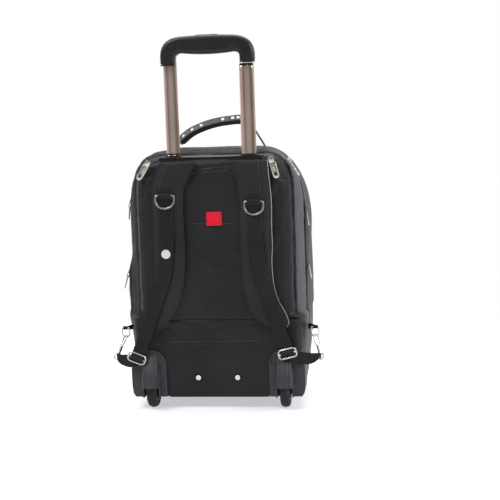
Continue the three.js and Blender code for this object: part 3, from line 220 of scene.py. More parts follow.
def cloth_grid(name, rows, closed=True):
    """A sheet through rows of points in millimetres, with a UV map in metres of cloth."""
    count = len(rows[0])
    points = [((x * mm, crown + y * mm, z * mm)) for row in rows for x, y, z in row]
    faces = []
    for r in range(len(rows) - 1):
        for i in range(count if closed else count - 1):
            j = (i + 1) % count
            faces.append((r * count + i, r * count + j, (r + 1) * count + j, (r + 1) * count + i))
    mesh = bpy.data.meshes.new(name)
    mesh.from_pydata(points, [], faces)
    along = np.zeros(count + 1)
    middle = np.array(rows[len(rows) // 2])
    along[1:count] = np.cumsum(np.linalg.norm(np.diff(middle, axis=0), axis=1))
    along[count] = along[count - 1] + np.linalg.norm(middle[0] - middle[-1])
    steps = np.linalg.norm(np.diff(np.array(rows), axis=0), axis=2).mean(axis=1)
    across = np.concatenate([[0], np.cumsum(steps)])
    layer = mesh.uv_layers.new(name="UVMap")
    for polygon in mesh.polygons:
        first = polygon.vertices[0]
        r, i = divmod(first, count)
        corners = ((r, i), (r, i + 1), (r + 1, i + 1), (r + 1, i))
        for loop, (row, column) in zip(polygon.loop_indices, corners):
            layer.data[loop].uv = (along[column] * mm, across[row] * mm)
    mesh.validate()
    piece = bpy.data.objects.new(name, mesh)
    bpy.context.scene.collection.objects.link(piece)
    return piece


def pick(piece):
    bpy.ops.object.select_all(action="DESELECT")
    bpy.context.view_layer.objects.active = piece
    piece.select_set(True)


def face_out(piece):
    pick(piece)
    bpy.ops.object.mode_set(mode="EDIT")
    bpy.ops.mesh.select_all(action="SELECT")
    bpy.ops.mesh.normals_make_consistent(inside=False)
    bpy.ops.object.mode_set(mode="OBJECT")


def apply_modifier(piece, kind, **settings):
    pick(piece)
    modifier = piece.modifiers.new(kind.title(), kind)
    for key, value in settings.items():
        setattr(modifier, key, value)
    bpy.ops.object.modifier_apply(modifier=modifier.name)


def smooth_piece(piece, angle=40):
    pick(piece)
    bpy.ops.object.shade_smooth_by_angle(angle=math.radians(angle))


def hand_over(piece, finish, body="bag", nodes=(), angle=35):
    """Smooths a finished piece, unless the angle is None, paints it and gives it to the frame."""
    if angle is not None:
        smooth_piece(piece, angle)
    piece.data.materials.clear()
    piece.data.materials.append(finish)
    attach(piece, body)
    if nodes:
        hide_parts(*nodes)
    return piece


def piece_of(name, shape):
    """An object made from a bmesh, which is freed."""
    mesh = bpy.data.meshes.new(name)
    shape.to_mesh(mesh)
    shape.free()
    piece = bpy.data.objects.new(name, mesh)
    bpy.context.scene.collection.objects.link(piece)
    return piece


def close_ends(piece, count, last):
    """Caps a tube made of rings at its first and last ring, and turns its faces out."""
    shape = bmesh.new()
    shape.from_mesh(piece.data)
    shape.verts.ensure_lookup_table()
    for start in (0, count * last):
        shape.faces.new([shape.verts[start + i] for i in range(count)])
    shape.to_mesh(piece.data)
    shape.free()
    face_out(piece)


def weld(piece, distance=0.02):
    """Joins points that lie on each other and turns the faces out."""
    pick(piece)
    bpy.ops.object.mode_set(mode="EDIT")
    bpy.ops.mesh.select_all(action="SELECT")
    bpy.ops.mesh.remove_doubles(threshold=distance * mm)
    bpy.ops.mesh.normals_make_consistent(inside=False)
    bpy.ops.object.mode_set(mode="OBJECT")


def push_out(piece, distance_at):
    """Moves each point of a sheet along its normal by a distance in millimetres."""
    mesh = piece.data
    normals = [v.normal.copy() for v in mesh.vertices]
    for vertex, normal in zip(mesh.vertices, normals):
        x, y, z = vertex.co.x / mm, (vertex.co.y - crown) / mm, vertex.co.z / mm
        vertex.co += normal * distance_at(x, y, z) * mm
    mesh.update()


def soft_noise(x, y, z, size, seed):
    return noise.noise(Vector((x, y, z)) / size + Vector((seed * 7.3, seed * 3.1, seed * 5.7)))


def crease(x, y, z, size, seed):
    """Thin raised folds, as in thin nylon, from 0 to 1."""
    return (1 - abs(soft_noise(x, y, z, size, seed))) ** 6


def thicken(piece, wall):
    apply_modifier(piece, "SOLIDIFY", thickness=wall * mm, offset=-1, use_even_offset=False)


def socket(material, name):
    return material.node_tree.nodes["Principled BSDF"].inputs[name]


def woven_finish(
    name, colour, thread=0.9, rough=0.75, sheen=0.04, bump=0.35, dust=0.35, rib=1.0, shine=0.2,
):
    """A plain weave on the cloth's own UV map, with slow changes of tone and a little bloom.
    thread is the thread's width in millimetres, and rib above 1 makes the weft wider."""
    material = bpy.data.materials.new(name)
    material.use_nodes = True
    tree = material.node_tree
    add, link = tree.nodes.new, tree.links.new
    uv = add("ShaderNodeUVMap")
    uv.uv_map = "UVMap"
    waves = []
    for direction, pitch in (("X", thread), ("Y", thread * rib)):
        wave = add("ShaderNodeTexWave")
        wave.bands_direction = direction
        wave.inputs["Scale"].default_value = 1 / (pitch * mm) / 20 * math.pi
        wave.inputs["Distortion"].default_value = 0.6
        wave.inputs["Detail"].default_value = 1
        link(uv.outputs["UV"], wave.inputs["Vector"])
        waves.append(wave)
    weave = add("ShaderNodeMath")
    weave.operation = "MULTIPLY"
    link(waves[0].outputs["Fac"], weave.inputs[0])
    link(waves[1].outputs["Fac"], weave.inputs[1])
    place = add("ShaderNodeTexCoord")
    tone = add("ShaderNodeTexNoise")
    tone.inputs["Scale"].default_value = 9
    tone.inputs["Detail"].default_value = 5
    link(place.outputs["Object"], tone.inputs["Vector"])
    fleck = add("ShaderNodeTexNoise")
    fleck.inputs["Scale"].default_value = 420
    fleck.inputs["Detail"].default_value = 2
    link(place.outputs["Object"], fleck.inputs["Vector"])
    ramp = add("ShaderNodeMapRange")
    ramp.inputs["From Min"].default_value = 0.35
    ramp.inputs["From Max"].default_value = 0.7
    ramp.inputs["To Min"].default_value = 0.0
    ramp.inputs["To Max"].default_value = dust
    link(tone.outputs["Fac"], ramp.inputs["Value"])
    dark = add("ShaderNodeMix")
    dark.data_type = "RGBA"
    dark.inputs["A"].default_value = (*[c * 0.62 for c in colour], 1)
    dark.inputs["B"].default_value = (*[min(1, c * 1.3) for c in colour], 1)
    link(weave.outputs["Value"], dark.inputs["Factor"])
    worn = add("ShaderNodeMix")
    worn.data_type = "RGBA"
    worn.inputs["B"].default_value = (*[min(1, c * 1.9 + 0.006) for c in colour], 1)
    link(ramp.outputs["Result"], worn.inputs["Factor"])
    link(dark.outputs["Result"], worn.inputs["A"])
    shader = tree.nodes["Principled BSDF"]
    link(worn.outputs["Result"], shader.inputs["Base Color"])
    rough_range = add("ShaderNodeMapRange")
    rough_range.inputs["To Min"].default_value = rough - 0.12
    rough_range.inputs["To Max"].default_value = min(1, rough + 0.1)
    link(fleck.outputs["Fac"], rough_range.inputs["Value"])
    link(rough_range.outputs["Result"], shader.inputs["Roughness"])
    shader.inputs["Sheen Weight"].default_value = sheen
    shader.inputs["Sheen Roughness"].default_value = 0.4
    shader.inputs["Specular IOR Level"].default_value = shine
    height = add("ShaderNodeMath")
    height.operation = "MULTIPLY_ADD"
    height.inputs[1].default_value = 0.4
    link(fleck.outputs["Fac"], height.inputs[0])
    link(weave.outputs["Value"], height.inputs[2])
    relief = add("ShaderNodeBump")
    relief.inputs["Strength"].default_value = bump
    relief.inputs["Distance"].default_value = 0.35 * mm
    link(height.outputs["Value"], relief.inputs["Height"])
    link(relief.outputs["Normal"], shader.inputs["Normal"])
    return material


black_nylon = woven_finish(
    "black_nylon", (0.0075, 0.0072, 0.0088), thread=0.8, rough=0.56, dust=0.5, shine=0.26,
)
shell_nylon = woven_finish("shell_nylon", (0.0075, 0.0072, 0.0085), thread=0.8, rough=0.52, shine=0.3)
grey_nylon = woven_finish("grey_nylon", (0.105, 0.107, 0.118), thread=0.9, rough=0.7, dust=0.2)
# Painted shade: the grey cloth turns near black for x below 0.095 m, over the top and down the left side,
# and is fully grey again by 0.135 m.
tree = grey_nylon.node_tree
object_place = tree.nodes.new("ShaderNodeTexCoord")
apart = tree.nodes.new("ShaderNodeSeparateXYZ")
tree.links.new(object_place.outputs["Object"], apart.inputs["Vector"])
shade_fade_to_right = tree.nodes.new("ShaderNodeMapRange")
shade_fade_to_right.inputs["From Min"].default_value = 0.095
shade_fade_to_right.inputs["From Max"].default_value = 0.135
tree.links.new(apart.outputs["X"], shade_fade_to_right.inputs["Value"])
painted_shade_mix = tree.nodes.new("ShaderNodeMix")
painted_shade_mix.data_type = "RGBA"
painted_shade_mix.inputs["A"].default_value = (0.014, 0.014, 0.016, 1)
tree.links.new(shade_fade_to_right.outputs["Result"], painted_shade_mix.inputs["Factor"])
tree.links.new(socket(grey_nylon, "Base Color").links[0].from_socket, painted_shade_mix.inputs["B"])
tree.links.new(painted_shade_mix.outputs["Result"], socket(grey_nylon, "Base Color"))


def face_out_from_middle(piece):
    """Open bands have no inside, so their faces are turned away from the middle of the bag."""
    mesh = piece.data
    turned = 0
    for polygon in mesh.polygons:
        out = Vector((polygon.center.x, 0, polygon.center.z - bag_top * mm / 2))
        turned += 1 if polygon.normal.dot(out) > 0 else -1
    if turned < 0:
        mesh.flip_normals()
        mesh.update()


def finish_cloth(piece, finish, node, wall=cloth_wall, facing=True):
    """Closes a sheet into cloth with its wall inside, and hands it to the frame."""
    if facing:
        face_out_from_middle(piece)
    thicken(piece, wall)
    hand_over(piece, finish, nodes=[node], angle=50)


def band_rows(y_from, y_to, rows, inset=0.0):
    return [[(x, y, z) for x, z in outline_ring(y, inset)] for y in np.linspace(y_from, y_to, rows)]


# Main shell
# The big black compartment: one cloth over the sides and the front wall, soft enough to dent
# and to fold near its corners.
rear_zip_from = panel_thick + seam_gap
zip_width = 4.7
rear_zip_to = rear_zip_from + zip_width
main_zip_to = panel_thick + 26
main_zip_from = main_zip_to - zip_width
front_zip_to = main_zip_to + 34
front_zip_from = front_zip_to - zip_width
shell_from = front_zip_to + seam_gap
shell_depths = list(np.linspace(shell_from, 184, 34)) + [187, 190, 193, 196, 198.5, 200.3, 201.5]
shell_rows = [[(x, y, z) for x, z in outline_ring(y)] for y in shell_depths]
wall_middle = 250
for share in (1.0, 0.985, 0.96, 0.92, 0.86, 0.78, 0.69, 0.6, 0.5, 0.4, 0.3, 0.2, 0.1, 0.03):
    shell_rows.append([
        (x * share, bag_depth - 0.3, wall_middle + (z - wall_middle) * share)
        for x, z in outline_ring(bag_depth)
    ])
shell = cloth_grid("main_shell_cloth", shell_rows)
bmesh_shell = bmesh.new()
bmesh_shell.from_mesh(shell.data)
last_ring = [v for v in bmesh_shell.verts if v.index >= len(shell_rows[0]) * (len(shell_rows) - 1)]
bmesh.ops.contextual_create(bmesh_shell, geom=last_ring)
bmesh_shell.to_mesh(shell.data)
bmesh_shell.free()
face_out(shell)


def shell_dents(x, y, z):
    side = min(1, max(0, (y - shell_from) / 12)) * min(1, max(0, (bag_depth - y) / 8))
    broad = soft_noise(x, y * 1.4, z, 95, 1) * 2.2
    folds = crease(x, y * 1.7 + z * 0.5, z, 46, 2) * 2.4 * max(0, soft_noise(x, y, z, 120, 3) + 0.4)
    edge = -1.0 * math.exp(-(y - shell_from) / 2.0)
    return (broad - 1.1) * (0.25 + 0.75 * side) + folds * side + edge


push_out(shell, shell_dents)
finish_cloth(shell, shell_nylon, "main_shell", facing=False)
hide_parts("front_wall")

# Grey side gusset
# The woven grey band between the main zip and the front zip: it shows as a light strip down
# the right side and over the shoulder. Its left side and its top are painted near black as painted shade.
grey_rows = band_rows(main_zip_to + seam_gap, front_zip_to, 14)
grey_gusset = cloth_grid("side_gusset_cloth", grey_rows)
front_zip_low = 112


def gusset_dents(x, y, z):
    share = (y - main_zip_to) / (front_zip_to - main_zip_to)
    bulge = 1.2 * (1 - (2 * share - 1) ** 2)
    broad = soft_noise(x, y, z, 60, 4) * 1.2
    folds = crease(x, y * 2, z, 34, 5) * 1.5
    edge = -1.1 * math.exp(-(y - main_zip_to) / 1.5) - 1.1 * math.exp(-(front_zip_to - y) / 1.5)
    under_zip = -2.4 if y > front_zip_from - 1 and z > front_zip_low - 1 else 0
    return bulge + broad * 0.6 + folds + edge + under_zip - 0.6


face_out_from_middle(grey_gusset)
push_out(grey_gusset, gusset_dents)
finish_cloth(grey_gusset, grey_nylon, "side_gusset", wall=1.0)

# Black rear gusset
# The narrow black band between the rear zips and the main zip. Below the boot seam it runs on
# as the sides of the boot.
rear_rows = band_rows(rear_zip_from, main_zip_to, 13)
rear_gusset = cloth_grid("rear_gusset_cloth", rear_rows)
zip_low = 178


def rear_dents(x, y, z):
    broad = soft_noise(x, y, z, 52, 6)
    folds = crease(x, y * 2, z + y, 30, 7) * 1.6
    above = z > zip_low - 1
    under_zip = -2.4 if above and (y > main_zip_from - 1 or y < rear_zip_to + 0.6) else 0
    boot_edge = 0.8 * math.exp(-((z - boot_top + 4) / 3) ** 2)
    edge = -1.1 * math.exp(-(y - rear_zip_from) / 1.5) - 1.1 * math.exp(-(main_zip_to - y) / 1.5)
    return broad * 0.6 + folds + under_zip + boot_edge + edge - 0.5


face_out_from_middle(rear_gusset)
push_out(rear_gusset, rear_dents)
finish_cloth(rear_gusset, black_nylon, "rear_gusset", wall=1.0)

# Padded back
# Thin foam under black nylon, sewn in at its edge. A piped seam with gathers crosses its top,
# a pocket's seam lies half way up, and the cloth between is a little slack.
panel_seam = 171
panel_ring = [point for point in outline_ring(panel_thick) if point[0] >= 0 and point[1] > panel_seam - 20]
panel_ring_x = np.array([x for x, z in panel_ring])
panel_ring_z = np.array([z for x, z in panel_ring])
panel_top = panel_ring_z.max()
panel_profile = ((0, 0), (2, 0.42), (8, 0.76), (21, 0.94), (42, 1))


def panel_half(z):
    rising = panel_ring_z < panel_top - 0.001
    return float(np.interp(z, panel_ring_z[rising], panel_ring_x[rising]))


def panel_relief(x, z):
    """How far the cloth of the back lies in from its crown, in millimetres."""
    near = np.hypot(panel_ring_x - abs(x), panel_ring_z - z).min()
    rise = np.interp(near, [r[0] for r in panel_profile], [r[1] for r in panel_profile])
    depth = panel_thick * (1 - rise)
    piping = 455.8 + x * 0.085 - ((x - 8) / 60) ** 2 * 7
    depth -= 0.9 * math.exp(-((z - piping) / 1.1) ** 2)
    depth += 1.5 * math.exp(-((z - piping + 3.2) / 2.0) ** 2)
    depth += 1.1 * math.exp(-((z - piping - 2.6) / 1.5) ** 2)
    gathers = crease(x * 1.6, 0, (z - x * x * 0.004) * 2.2, 42, 11) * max(0, 1 - abs(z - 438) / 34)
    depth += 1.2 - 3.0 * gathers if abs(z - 438) < 34 else 1.2
    pocket_seam = 352 - x * 0.02
    depth += 1.3 * math.exp(-((z - pocket_seam + 1.2) / 1.2) ** 2)
    depth -= 0.5 * math.exp(-((z - pocket_seam - 1.8) / 2.2) ** 2)
    sweep = math.sin((z * 0.8 + abs(x - 125) * 1.1 + 6 * soft_noise(x, 0, z, 60, 12)) / 13)
    strip = math.exp(-((abs(x) - 118) / 19) ** 2) * (1 if 215 < z < 440 else 0.25)
    depth -= 2.6 * strip * max(0, sweep) ** 3
    depth += 1.7 * soft_noise(x, 0, z * 0.8, 62, 13)
    slack = crease(x + z * 0.6, 0, z * 0.55 - x * 0.8, 66, 14) * math.exp(-((z - 255) / 60) ** 2)
    depth -= 2.0 * slack * (1 if abs(x) < 95 else 0.4)
    depth += 2.2 * math.exp(-((z - panel_seam) / 2.4) ** 2)
    return max(0.05, depth)


panel_rows = []
side_spread = np.sin(np.linspace(-math.pi / 2, math.pi / 2, 111))
side_spread = 0.5 * side_spread + 0.5 * np.linspace(-1, 1, 111)
heights = list(np.linspace(panel_seam + seam_gap, 420, 104)) + list(np.linspace(422, panel_top - 0.05, 42))
for z in heights:
    half = panel_half(z)
    panel_rows.append([(u * half, panel_relief(u * half, z), z) for u in side_spread])
back_panel = cloth_grid("back_panel_cloth", panel_rows, closed=False)


def face_back(piece):
    """Turns a sheet's faces to the harness side."""
    mesh = piece.data
    if sum(polygon.normal.y for polygon in mesh.polygons) > 0:
        mesh.flip_normals()
        mesh.update()


def finish_flat(piece, finish, nodes, wall):
    """Closes a sheet that faces back into cloth, and hands it to the frame."""
    face_back(piece)
    thicken(piece, wall)
    hand_over(piece, finish, nodes=nodes, angle=50)


finish_flat(back_panel, black_nylon, ["back_panel"], wall=1.4)

# Lower panel
# Plain black cloth below the back's lower seam, pulled over the moulded upstand, with two
# faint rows of stitching.
lower_rows = []
lower_ring = [point for point in outline_ring(panel_thick) if point[0] >= 0 and point[1] < panel_seam]
lower_ring = sorted((z, x) for x, z in lower_ring if x > 100)
lower_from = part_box("lower_panel")[0][2] / mm


def lower_relief(x, z, half):
    depth = 0.35 + 2.2 * math.exp(-((z - panel_seam) / 2.4) ** 2)
    depth += (panel_thick - 2) * max(0, 1 - (half - abs(x)) / 9) ** 2
    depth += 0.35 * math.exp(-((z - 137) / 0.9) ** 2) + 0.35 * math.exp(-((z - 128.5) / 0.9) ** 2)
    depth += 1.3 * (0.5 + 0.5 * soft_noise(x, 0, z, 58, 15))
    depth += 1.1 * crease(x, 0, z * 2.2, 58, 16) * min(1, max(0, (z - 70) / 40))
    return max(0.1, depth)


for z in np.linspace(lower_from, panel_seam, 84):
    half = float(np.interp(z, [p[0] for p in lower_ring], [p[1] for p in lower_ring]))
    lower_rows.append([(u * half, lower_relief(u * half, z, half), z) for u in np.linspace(-1, 1, 111)])
lower_panel = cloth_grid("lower_panel_cloth", lower_rows, closed=False)
finish_flat(lower_panel, black_nylon, ["lower_panel"], wall=1.4)

# Zips
# Coil zips on woven tape: two up the sides of the back, one over the top into the bag, and one
# round the front. Each is tape with two rows of small teeth that meet in its middle.
tape_finish = woven_finish("zip_tape_cloth", (0.010, 0.010, 0.011), thread=0.6, rough=0.7)
tooth_finish = bpy.data.materials.new("zip_teeth")
tooth_finish.use_nodes = True
tooth_tree = tooth_finish.node_tree
tooth_grain = tooth_tree.nodes.new("ShaderNodeTexNoise")
tooth_grain.inputs["Scale"].default_value = 900
tooth_range = tooth_tree.nodes.new("ShaderNodeMapRange")
tooth_range.inputs["To Min"].default_value = 0.28
tooth_range.inputs["To Max"].default_value = 0.5
tooth_tree.links.new(tooth_grain.outputs["Fac"], tooth_range.inputs["Value"])
tooth_tree.links.new(tooth_range.outputs["Result"], socket(tooth_finish, "Roughness"))
socket(tooth_finish, "Base Color").default_value = (0.035, 0.035, 0.038, 1)


def zip_teeth(name, path, out_at, rows_apart=1.5, pitch=2.2):
    """Small rounded teeth along a path of points, each side of its middle in turn."""
    mesh = bmesh.new()
    gone = 0.0
    turn = 1
    for a, b in zip(path, path[1:]):
        along = b - a
        length = along.length
        if length < 1e-9:
            continue
        along = along / length
        while gone < length:
            place = a + along * gone
            out = out_at(place).normalized()
            across = along.cross(out).normalized()
            centre = place + across * rows_apart / 2 * turn * mm
            corners = []
            for du, dv, dw in ((-1, -1, 0), (1, -1, 0), (1, 1, 0), (-1, 1, 0)):
                corners.append(mesh.verts.new(centre + along * du * 0.55 * mm + across * dv * 0.9 * mm))
            for du, dv in ((-1, -1), (1, -1), (1, 1), (-1, 1)):
                corners.append(mesh.verts.new(
                    centre + along * du * 0.32 * mm + across * dv * 0.6 * mm + out * 0.75 * mm
                ))
            for face in ((3, 2, 1, 0), (4, 5, 6, 7), (0, 1, 5, 4), (1, 2, 6, 5), (2, 3, 7, 6), (3, 0, 4, 7)):
                mesh.faces.new([corners[i] for i in face])
            turn = -turn
            gone += pitch / 2 * mm
        gone -= length
    bmesh.ops.recalc_face_normals(mesh, faces=mesh.faces[:])
    hand_over(piece_of(name, mesh), tooth_finish, angle=None)


def out_from_bag(place):
    return Vector((place.x, 0, 0.35 * (place.z - 0.3))) if abs(place.x) > 0.1 else Vector((0, 0, 1))


def round_zip(name, y_from, y_to, keep, node):
    """One zip round the outline between two depths, with its teeth."""
    depths = np.linspace(y_from, y_to, 5)
    rows = [[(x, y, z) for x, z in outline_ring(y, 0.5) if keep(x, z)] for y in depths]
    shortest = min(len(row) for row in rows)
    rows = [row[:shortest] for row in rows]
    tape = cloth_grid(name, rows, closed=False)
    face_out_from_middle(tape)
    middle = (y_from + y_to) / 2
    ring = [(x, middle, z) for x, z in outline_ring(middle, 0.1) if keep(x, z)]
    path = [Vector((x * mm, crown + y * mm, z * mm)) for x, y, z in ring]
    zip_teeth(name + "_teeth", path, out_from_bag)
    finish_cloth(tape, tape_finish, node, wall=0.9, facing=False)


rear_zip_inner = 101
for name, side in (("right", 1), ("left", -1)):
    round_zip(
        f"rear_zip_{name}_tape", rear_zip_from, rear_zip_to,
        lambda x, z: side * x > rear_zip_inner and z > zip_low, f"rear_zip_{name}",
    )
round_zip("main_zip_tape", main_zip_from, main_zip_to, lambda x, z: z > zip_low, "main_zip")
round_zip("front_zip_tape", front_zip_from, front_zip_to, lambda x, z: z > front_zip_low, "front_zip")

# Front pockets
# Two soft boxes on the front wall, the lower one deeper, each with piping round its face and a
# zip across its upper part.
def pocket(name, width, low, high, depth, node, seed):
    middle = (low + high) / 2
    bpy.ops.object.select_all(action="DESELECT")
    bpy.ops.mesh.primitive_cube_add(
        size=1, location=(0, crown + (bag_depth + seam_gap + depth / 2) * mm, middle * mm),
    )
    piece = bpy.context.object
    piece.name = name
    piece.data.name = name
    piece.scale = (width * mm, depth * mm, (high - low) * mm)
    bpy.ops.object.transform_apply(location=True, rotation=False, scale=True)
    bpy.ops.object.mode_set(mode="EDIT")
    bpy.ops.mesh.select_all(action="SELECT")
    bpy.ops.mesh.bevel(offset=16 * mm, segments=5, profile=0.6, affect="EDGES")
    bpy.ops.mesh.subdivide(number_cuts=4)
    bpy.ops.object.mode_set(mode="OBJECT")
    apply_modifier(piece, "REMESH", mode="VOXEL", voxel_size=3.2 * mm, use_smooth_shade=True)
    face_out(piece)
    front = bag_depth + seam_gap + depth

    def puff(x, y, z):
        face = max(0.0, min(1.0, (y - (front - depth * 0.6)) / (depth * 0.5)))
        crown_x = 1 - min(1, abs(x) / (width / 2)) ** 3
        crown_z = 1 - min(1, abs(z - middle) / ((high - low) / 2)) ** 3
        swell = -3.2 + 3.0 * crown_x * crown_z
        folds = crease(x, y * 2, z, 52, seed) * 1.3 + soft_noise(x, y, z, 70, seed + 1) * 0.9
        return swell * face + (folds - 1.2) * (0.35 + 0.65 * face) - 0.4 * (1 - face)

    push_out(piece, puff)
    floor = bag_depth + seam_gap
    for vertex in piece.data.vertices:
        y = (vertex.co.y - crown) / mm
        if y < floor:
            vertex.co.y = crown + floor * mm
    hand_over(piece, pocket_nylon, nodes=[node], angle=50)


def eased_path(points, per_step=6, closed=False):
    """A smooth path through points, with a few points on each stretch."""
    points = [Vector(p) for p in points]
    count = len(points)
    path = []
    last = count if closed else count - 1
    for i in range(last):
        before = points[(i - 1) % count] if closed or i > 0 else points[i]
        here = points[i]
        there = points[(i + 1) % count]
        after = points[(i + 2) % count] if closed or i + 2 < count else there
        for step in range(per_step):
            t = step / per_step
            path.append(0.5 * (
                2 * here + (there - before) * t
                + (2 * before - 5 * here + 4 * there - after) * t ** 2
                + (3 * here - before - 3 * there + after) * t ** 3
            ))
    if not closed:
        path.append(points[-1])
    return path


def bent_wire(name, path, radius, finish, body="bag", nodes=(), closed=True, sides=3):
    """A round wire, cord or piping along a path of points in metres, as a mesh."""
    curve = bpy.data.curves.new(name, "CURVE")
    curve.dimensions = "3D"
    curve.bevel_depth = radius * mm
    curve.bevel_resolution = sides
    curve.use_fill_caps = True
    spline = curve.splines.new("POLY")
    spline.points.add(len(path) - 1)
    for point, place in zip(spline.points, path):
        point.co = (*place, 1)
    spline.use_cyclic_u = closed
    piece = bpy.data.objects.new(name, curve)
    bpy.context.scene.collection.objects.link(piece)
    pick(piece)
    bpy.ops.object.convert(target="MESH")
    piece = bpy.context.object
    piece.name = name
    return hand_over(piece, finish, body, nodes, 60)


pocket_nylon = woven_finish("pocket_nylon", (0.0075, 0.0072, 0.0085), thread=0.8, rough=0.54, shine=0.3)
piping_finish = woven_finish("piping_cloth", (0.030, 0.030, 0.033), thread=0.5, rough=0.55)
pockets = (
    ("front_pocket_upper_cloth", 244, 318, 446, 24, "front_pocket_upper", 21),
    ("front_pocket_lower_cloth", 286, 52, 302, 43, "front_pocket_lower", 24),
)
for name, width, low, high, depth, node, seed in pockets:
    pocket(name, width, low, high, depth, node, seed)
    round_edge = 26
    corner_points = []
    half_w, middle, half_h = width / 2 - 4, (low + high) / 2, (high - low) / 2 - 4
    for sx, sz, start in ((1, 1, 0), (-1, 1, 1), (-1, -1, 2), (1, -1, 3)):
        for step in range(7):
            angle = (start + step / 6) * math.pi / 2
            corner_points.append(Vector((
                (sx * (half_w - round_edge) + round_edge * math.cos(angle)) * mm,
                crown + (bag_depth + depth - 6) * mm,
                (middle + sz * (half_h - round_edge) + round_edge * math.sin(angle)) * mm,
            )))
    bent_wire(name + "_piping", corner_points, 1.5, piping_finish)
    zip_path = []
    zip_line = high - 24
    cloth = bpy.data.objects[name]
    for x in np.linspace(-width / 2 + 26, width / 2 - 26, 44):
        sagging = zip_line + 2.5 * math.cos(x / 60)
        start = Vector((x * mm, crown + (bag_depth + depth + 60) * mm, sagging * mm))
        zip_path.append(cloth.ray_cast(start, Vector((0, -1, 0)))[1])
    bent_wire(name + "_zip_tape", zip_path, 2.6, tape_finish, closed=False)
    tooth_path = [spot + Vector((0, 2.3 * mm, 0)) for spot in zip_path]
    zip_teeth(name + "_zip_teeth", tooth_path, lambda spot: Vector((0, 1, 0)))

# Shoulder straps
# Foam pads in black nylon, edged with grey piping. A doubled band is sewn over the upper half
# of each, with two rows of stitching, down to a folded end below the D-ring.
pad_gap = 0.8
pad_thick = 12
# Each row of a pad: its height as a share of the bag's, its inner and outer edge as shares of
# half the bag's width, and how much of the sway it takes.
pad_rows = (
    (0.957, 0.235, 0.6, 0),
    (0.91, 0.262, 0.608, 0),
    (0.867, 0.29, 0.618, 0),
    (0.796, 0.305, 0.63, 0),
    (0.71, 0.305, 0.624, 0),
    (0.637, 0.302, 0.627, 0),
    (0.571, 0.302, 0.616, 0.1),
    (0.486, 0.309, 0.63, 0.5),
    (0.427, 0.34, 0.672, 0.8),
    (0.382, 0.386, 0.735, 1),
    (0.343, 0.465, 0.775, 1),
    (0.322, 0.56, 0.752, 1),
)
# Each row of the webbing: its middle, its height, its lift off the pad and its part of the sway.
web_rows = (
    (0.462, 0.67, 0, 0.2),
    (0.478, 0.58, 0, 0.3),
    (0.508, 0.518, 0, 0.3),
    (0.573, 0.449, 0, 0.4),
    (0.647, 0.357, 0, 0.8),
    (0.68, 0.31, -0.05, 1),
    (0.715, 0.272, -0.2, 1.2),
)
# Each side's own hang: sway in mm, slide and D-ring as shares of half the bag's width and of
# its top, the slide's turn in degrees, and the side ring's stand-off in mm and height share.
strap_columns = ("side", "sway", "slide_x", "slide_z", "turn", "ring_x", "ring_z", "tab_out", "tab_z")
strap_table = {
    "left": dict(zip(strap_columns, (-1, 10, 0.853, 0.21, -22, 0.477, 0.835, 3, 0.31))),
    "right": dict(zip(strap_columns, (1, 0, 0.76, 0.2245, -14, 0.455, 0.806, 7.5, 0.308))),
}
web_wide = 25
web_thick = 1.6
pad_face = -pad_gap - pad_thick
web_y = pad_face - 3 * seam_gap - web_thick / 2
pad_nylon = woven_finish("pad_nylon", (0.0145, 0.0128, 0.0135), thread=0.9, rough=0.66, shine=0.24)
thread_finish = woven_finish("seam_thread", (0.085, 0.085, 0.09), thread=0.2, rough=0.55)
edge_piping = woven_finish("edge_piping", (0.022, 0.022, 0.024), thread=0.5, rough=0.6)
pale_piping = woven_finish("pale_piping", (0.30, 0.30, 0.31), thread=0.5, rough=0.6)


def place(x, y, z):
    """A point in metres from millimetres, with y from the crown of the back."""
    return Vector((x * mm, crown + y * mm, z * mm))


def stitch_row(name, path, out_at, pitch=3.6, length=2.5, thick=0.34, lift=0.15):
    """A row of thread stitches along a path of points in metres."""
    mesh = bmesh.new()
    travelled = 0.0
    for a, b in zip(path, path[1:]):
        along = b - a
        span = along.length
        if span < 1e-9:
            continue
        along = along / span
        while travelled < span:
            spot = a + along * travelled
            out = out_at(spot).normalized()
            across = along.cross(out).normalized()
            centre = spot + out * lift * mm
            rings = []
            for share, size, rise in ((-0.5, 0.45, -0.5), (-0.3, 1, 0.1), (0.3, 1, 0.1), (0.5, 0.45, -0.5)):
                ring = []
                for k in range(5):
                    angle = 2 * math.pi * k / 5
                    ring.append(mesh.verts.new(
                        centre + along * share * length * mm
                        + across * math.cos(angle) * thick * size * mm
                        + out * (math.sin(angle) * thick * size + rise * thick) * mm
                    ))
                rings.append(ring)
            for low, high in zip(rings, rings[1:]):
                for k in range(5):
                    mesh.faces.new((low[k], low[(k + 1) % 5], high[(k + 1) % 5], high[k]))
            mesh.faces.new(rings[0][::-1])
            mesh.faces.new(rings[-1])
            travelled += pitch * mm
        travelled -= span
    bmesh.ops.recalc_face_normals(mesh, faces=mesh.faces[:])
    piece = piece_of(name, mesh)
    piece.data.uv_layers.new(name="UVMap")
    hand_over(piece, thread_finish, angle=None)


def spread_rows(rows, count):
    """Rows of values, eased to a larger count along their length."""
    table = [list(row) for row in rows]
    path = []
    for i in range(len(table) - 1):
        before = table[max(0, i - 1)]
        here, there = table[i], table[i + 1]
        after = table[min(len(table) - 1, i + 2)]
        for step in range(10):
            t = step / 10
            path.append([
                0.5 * (
                    2 * b + (c - a) * t + (2 * a - 5 * b + 4 * c - d) * t ** 2
                    + (3 * b - a - 3 * c + d) * t ** 3
                )
                for a, b, c, d in zip(before, here, there, after)
            ])
    path.append(table[-1])
    spots = np.linspace(0, len(path) - 1, count)
    columns = np.array(path).T
    return np.array([np.interp(spots, range(len(path)), column) for column in columns]).T


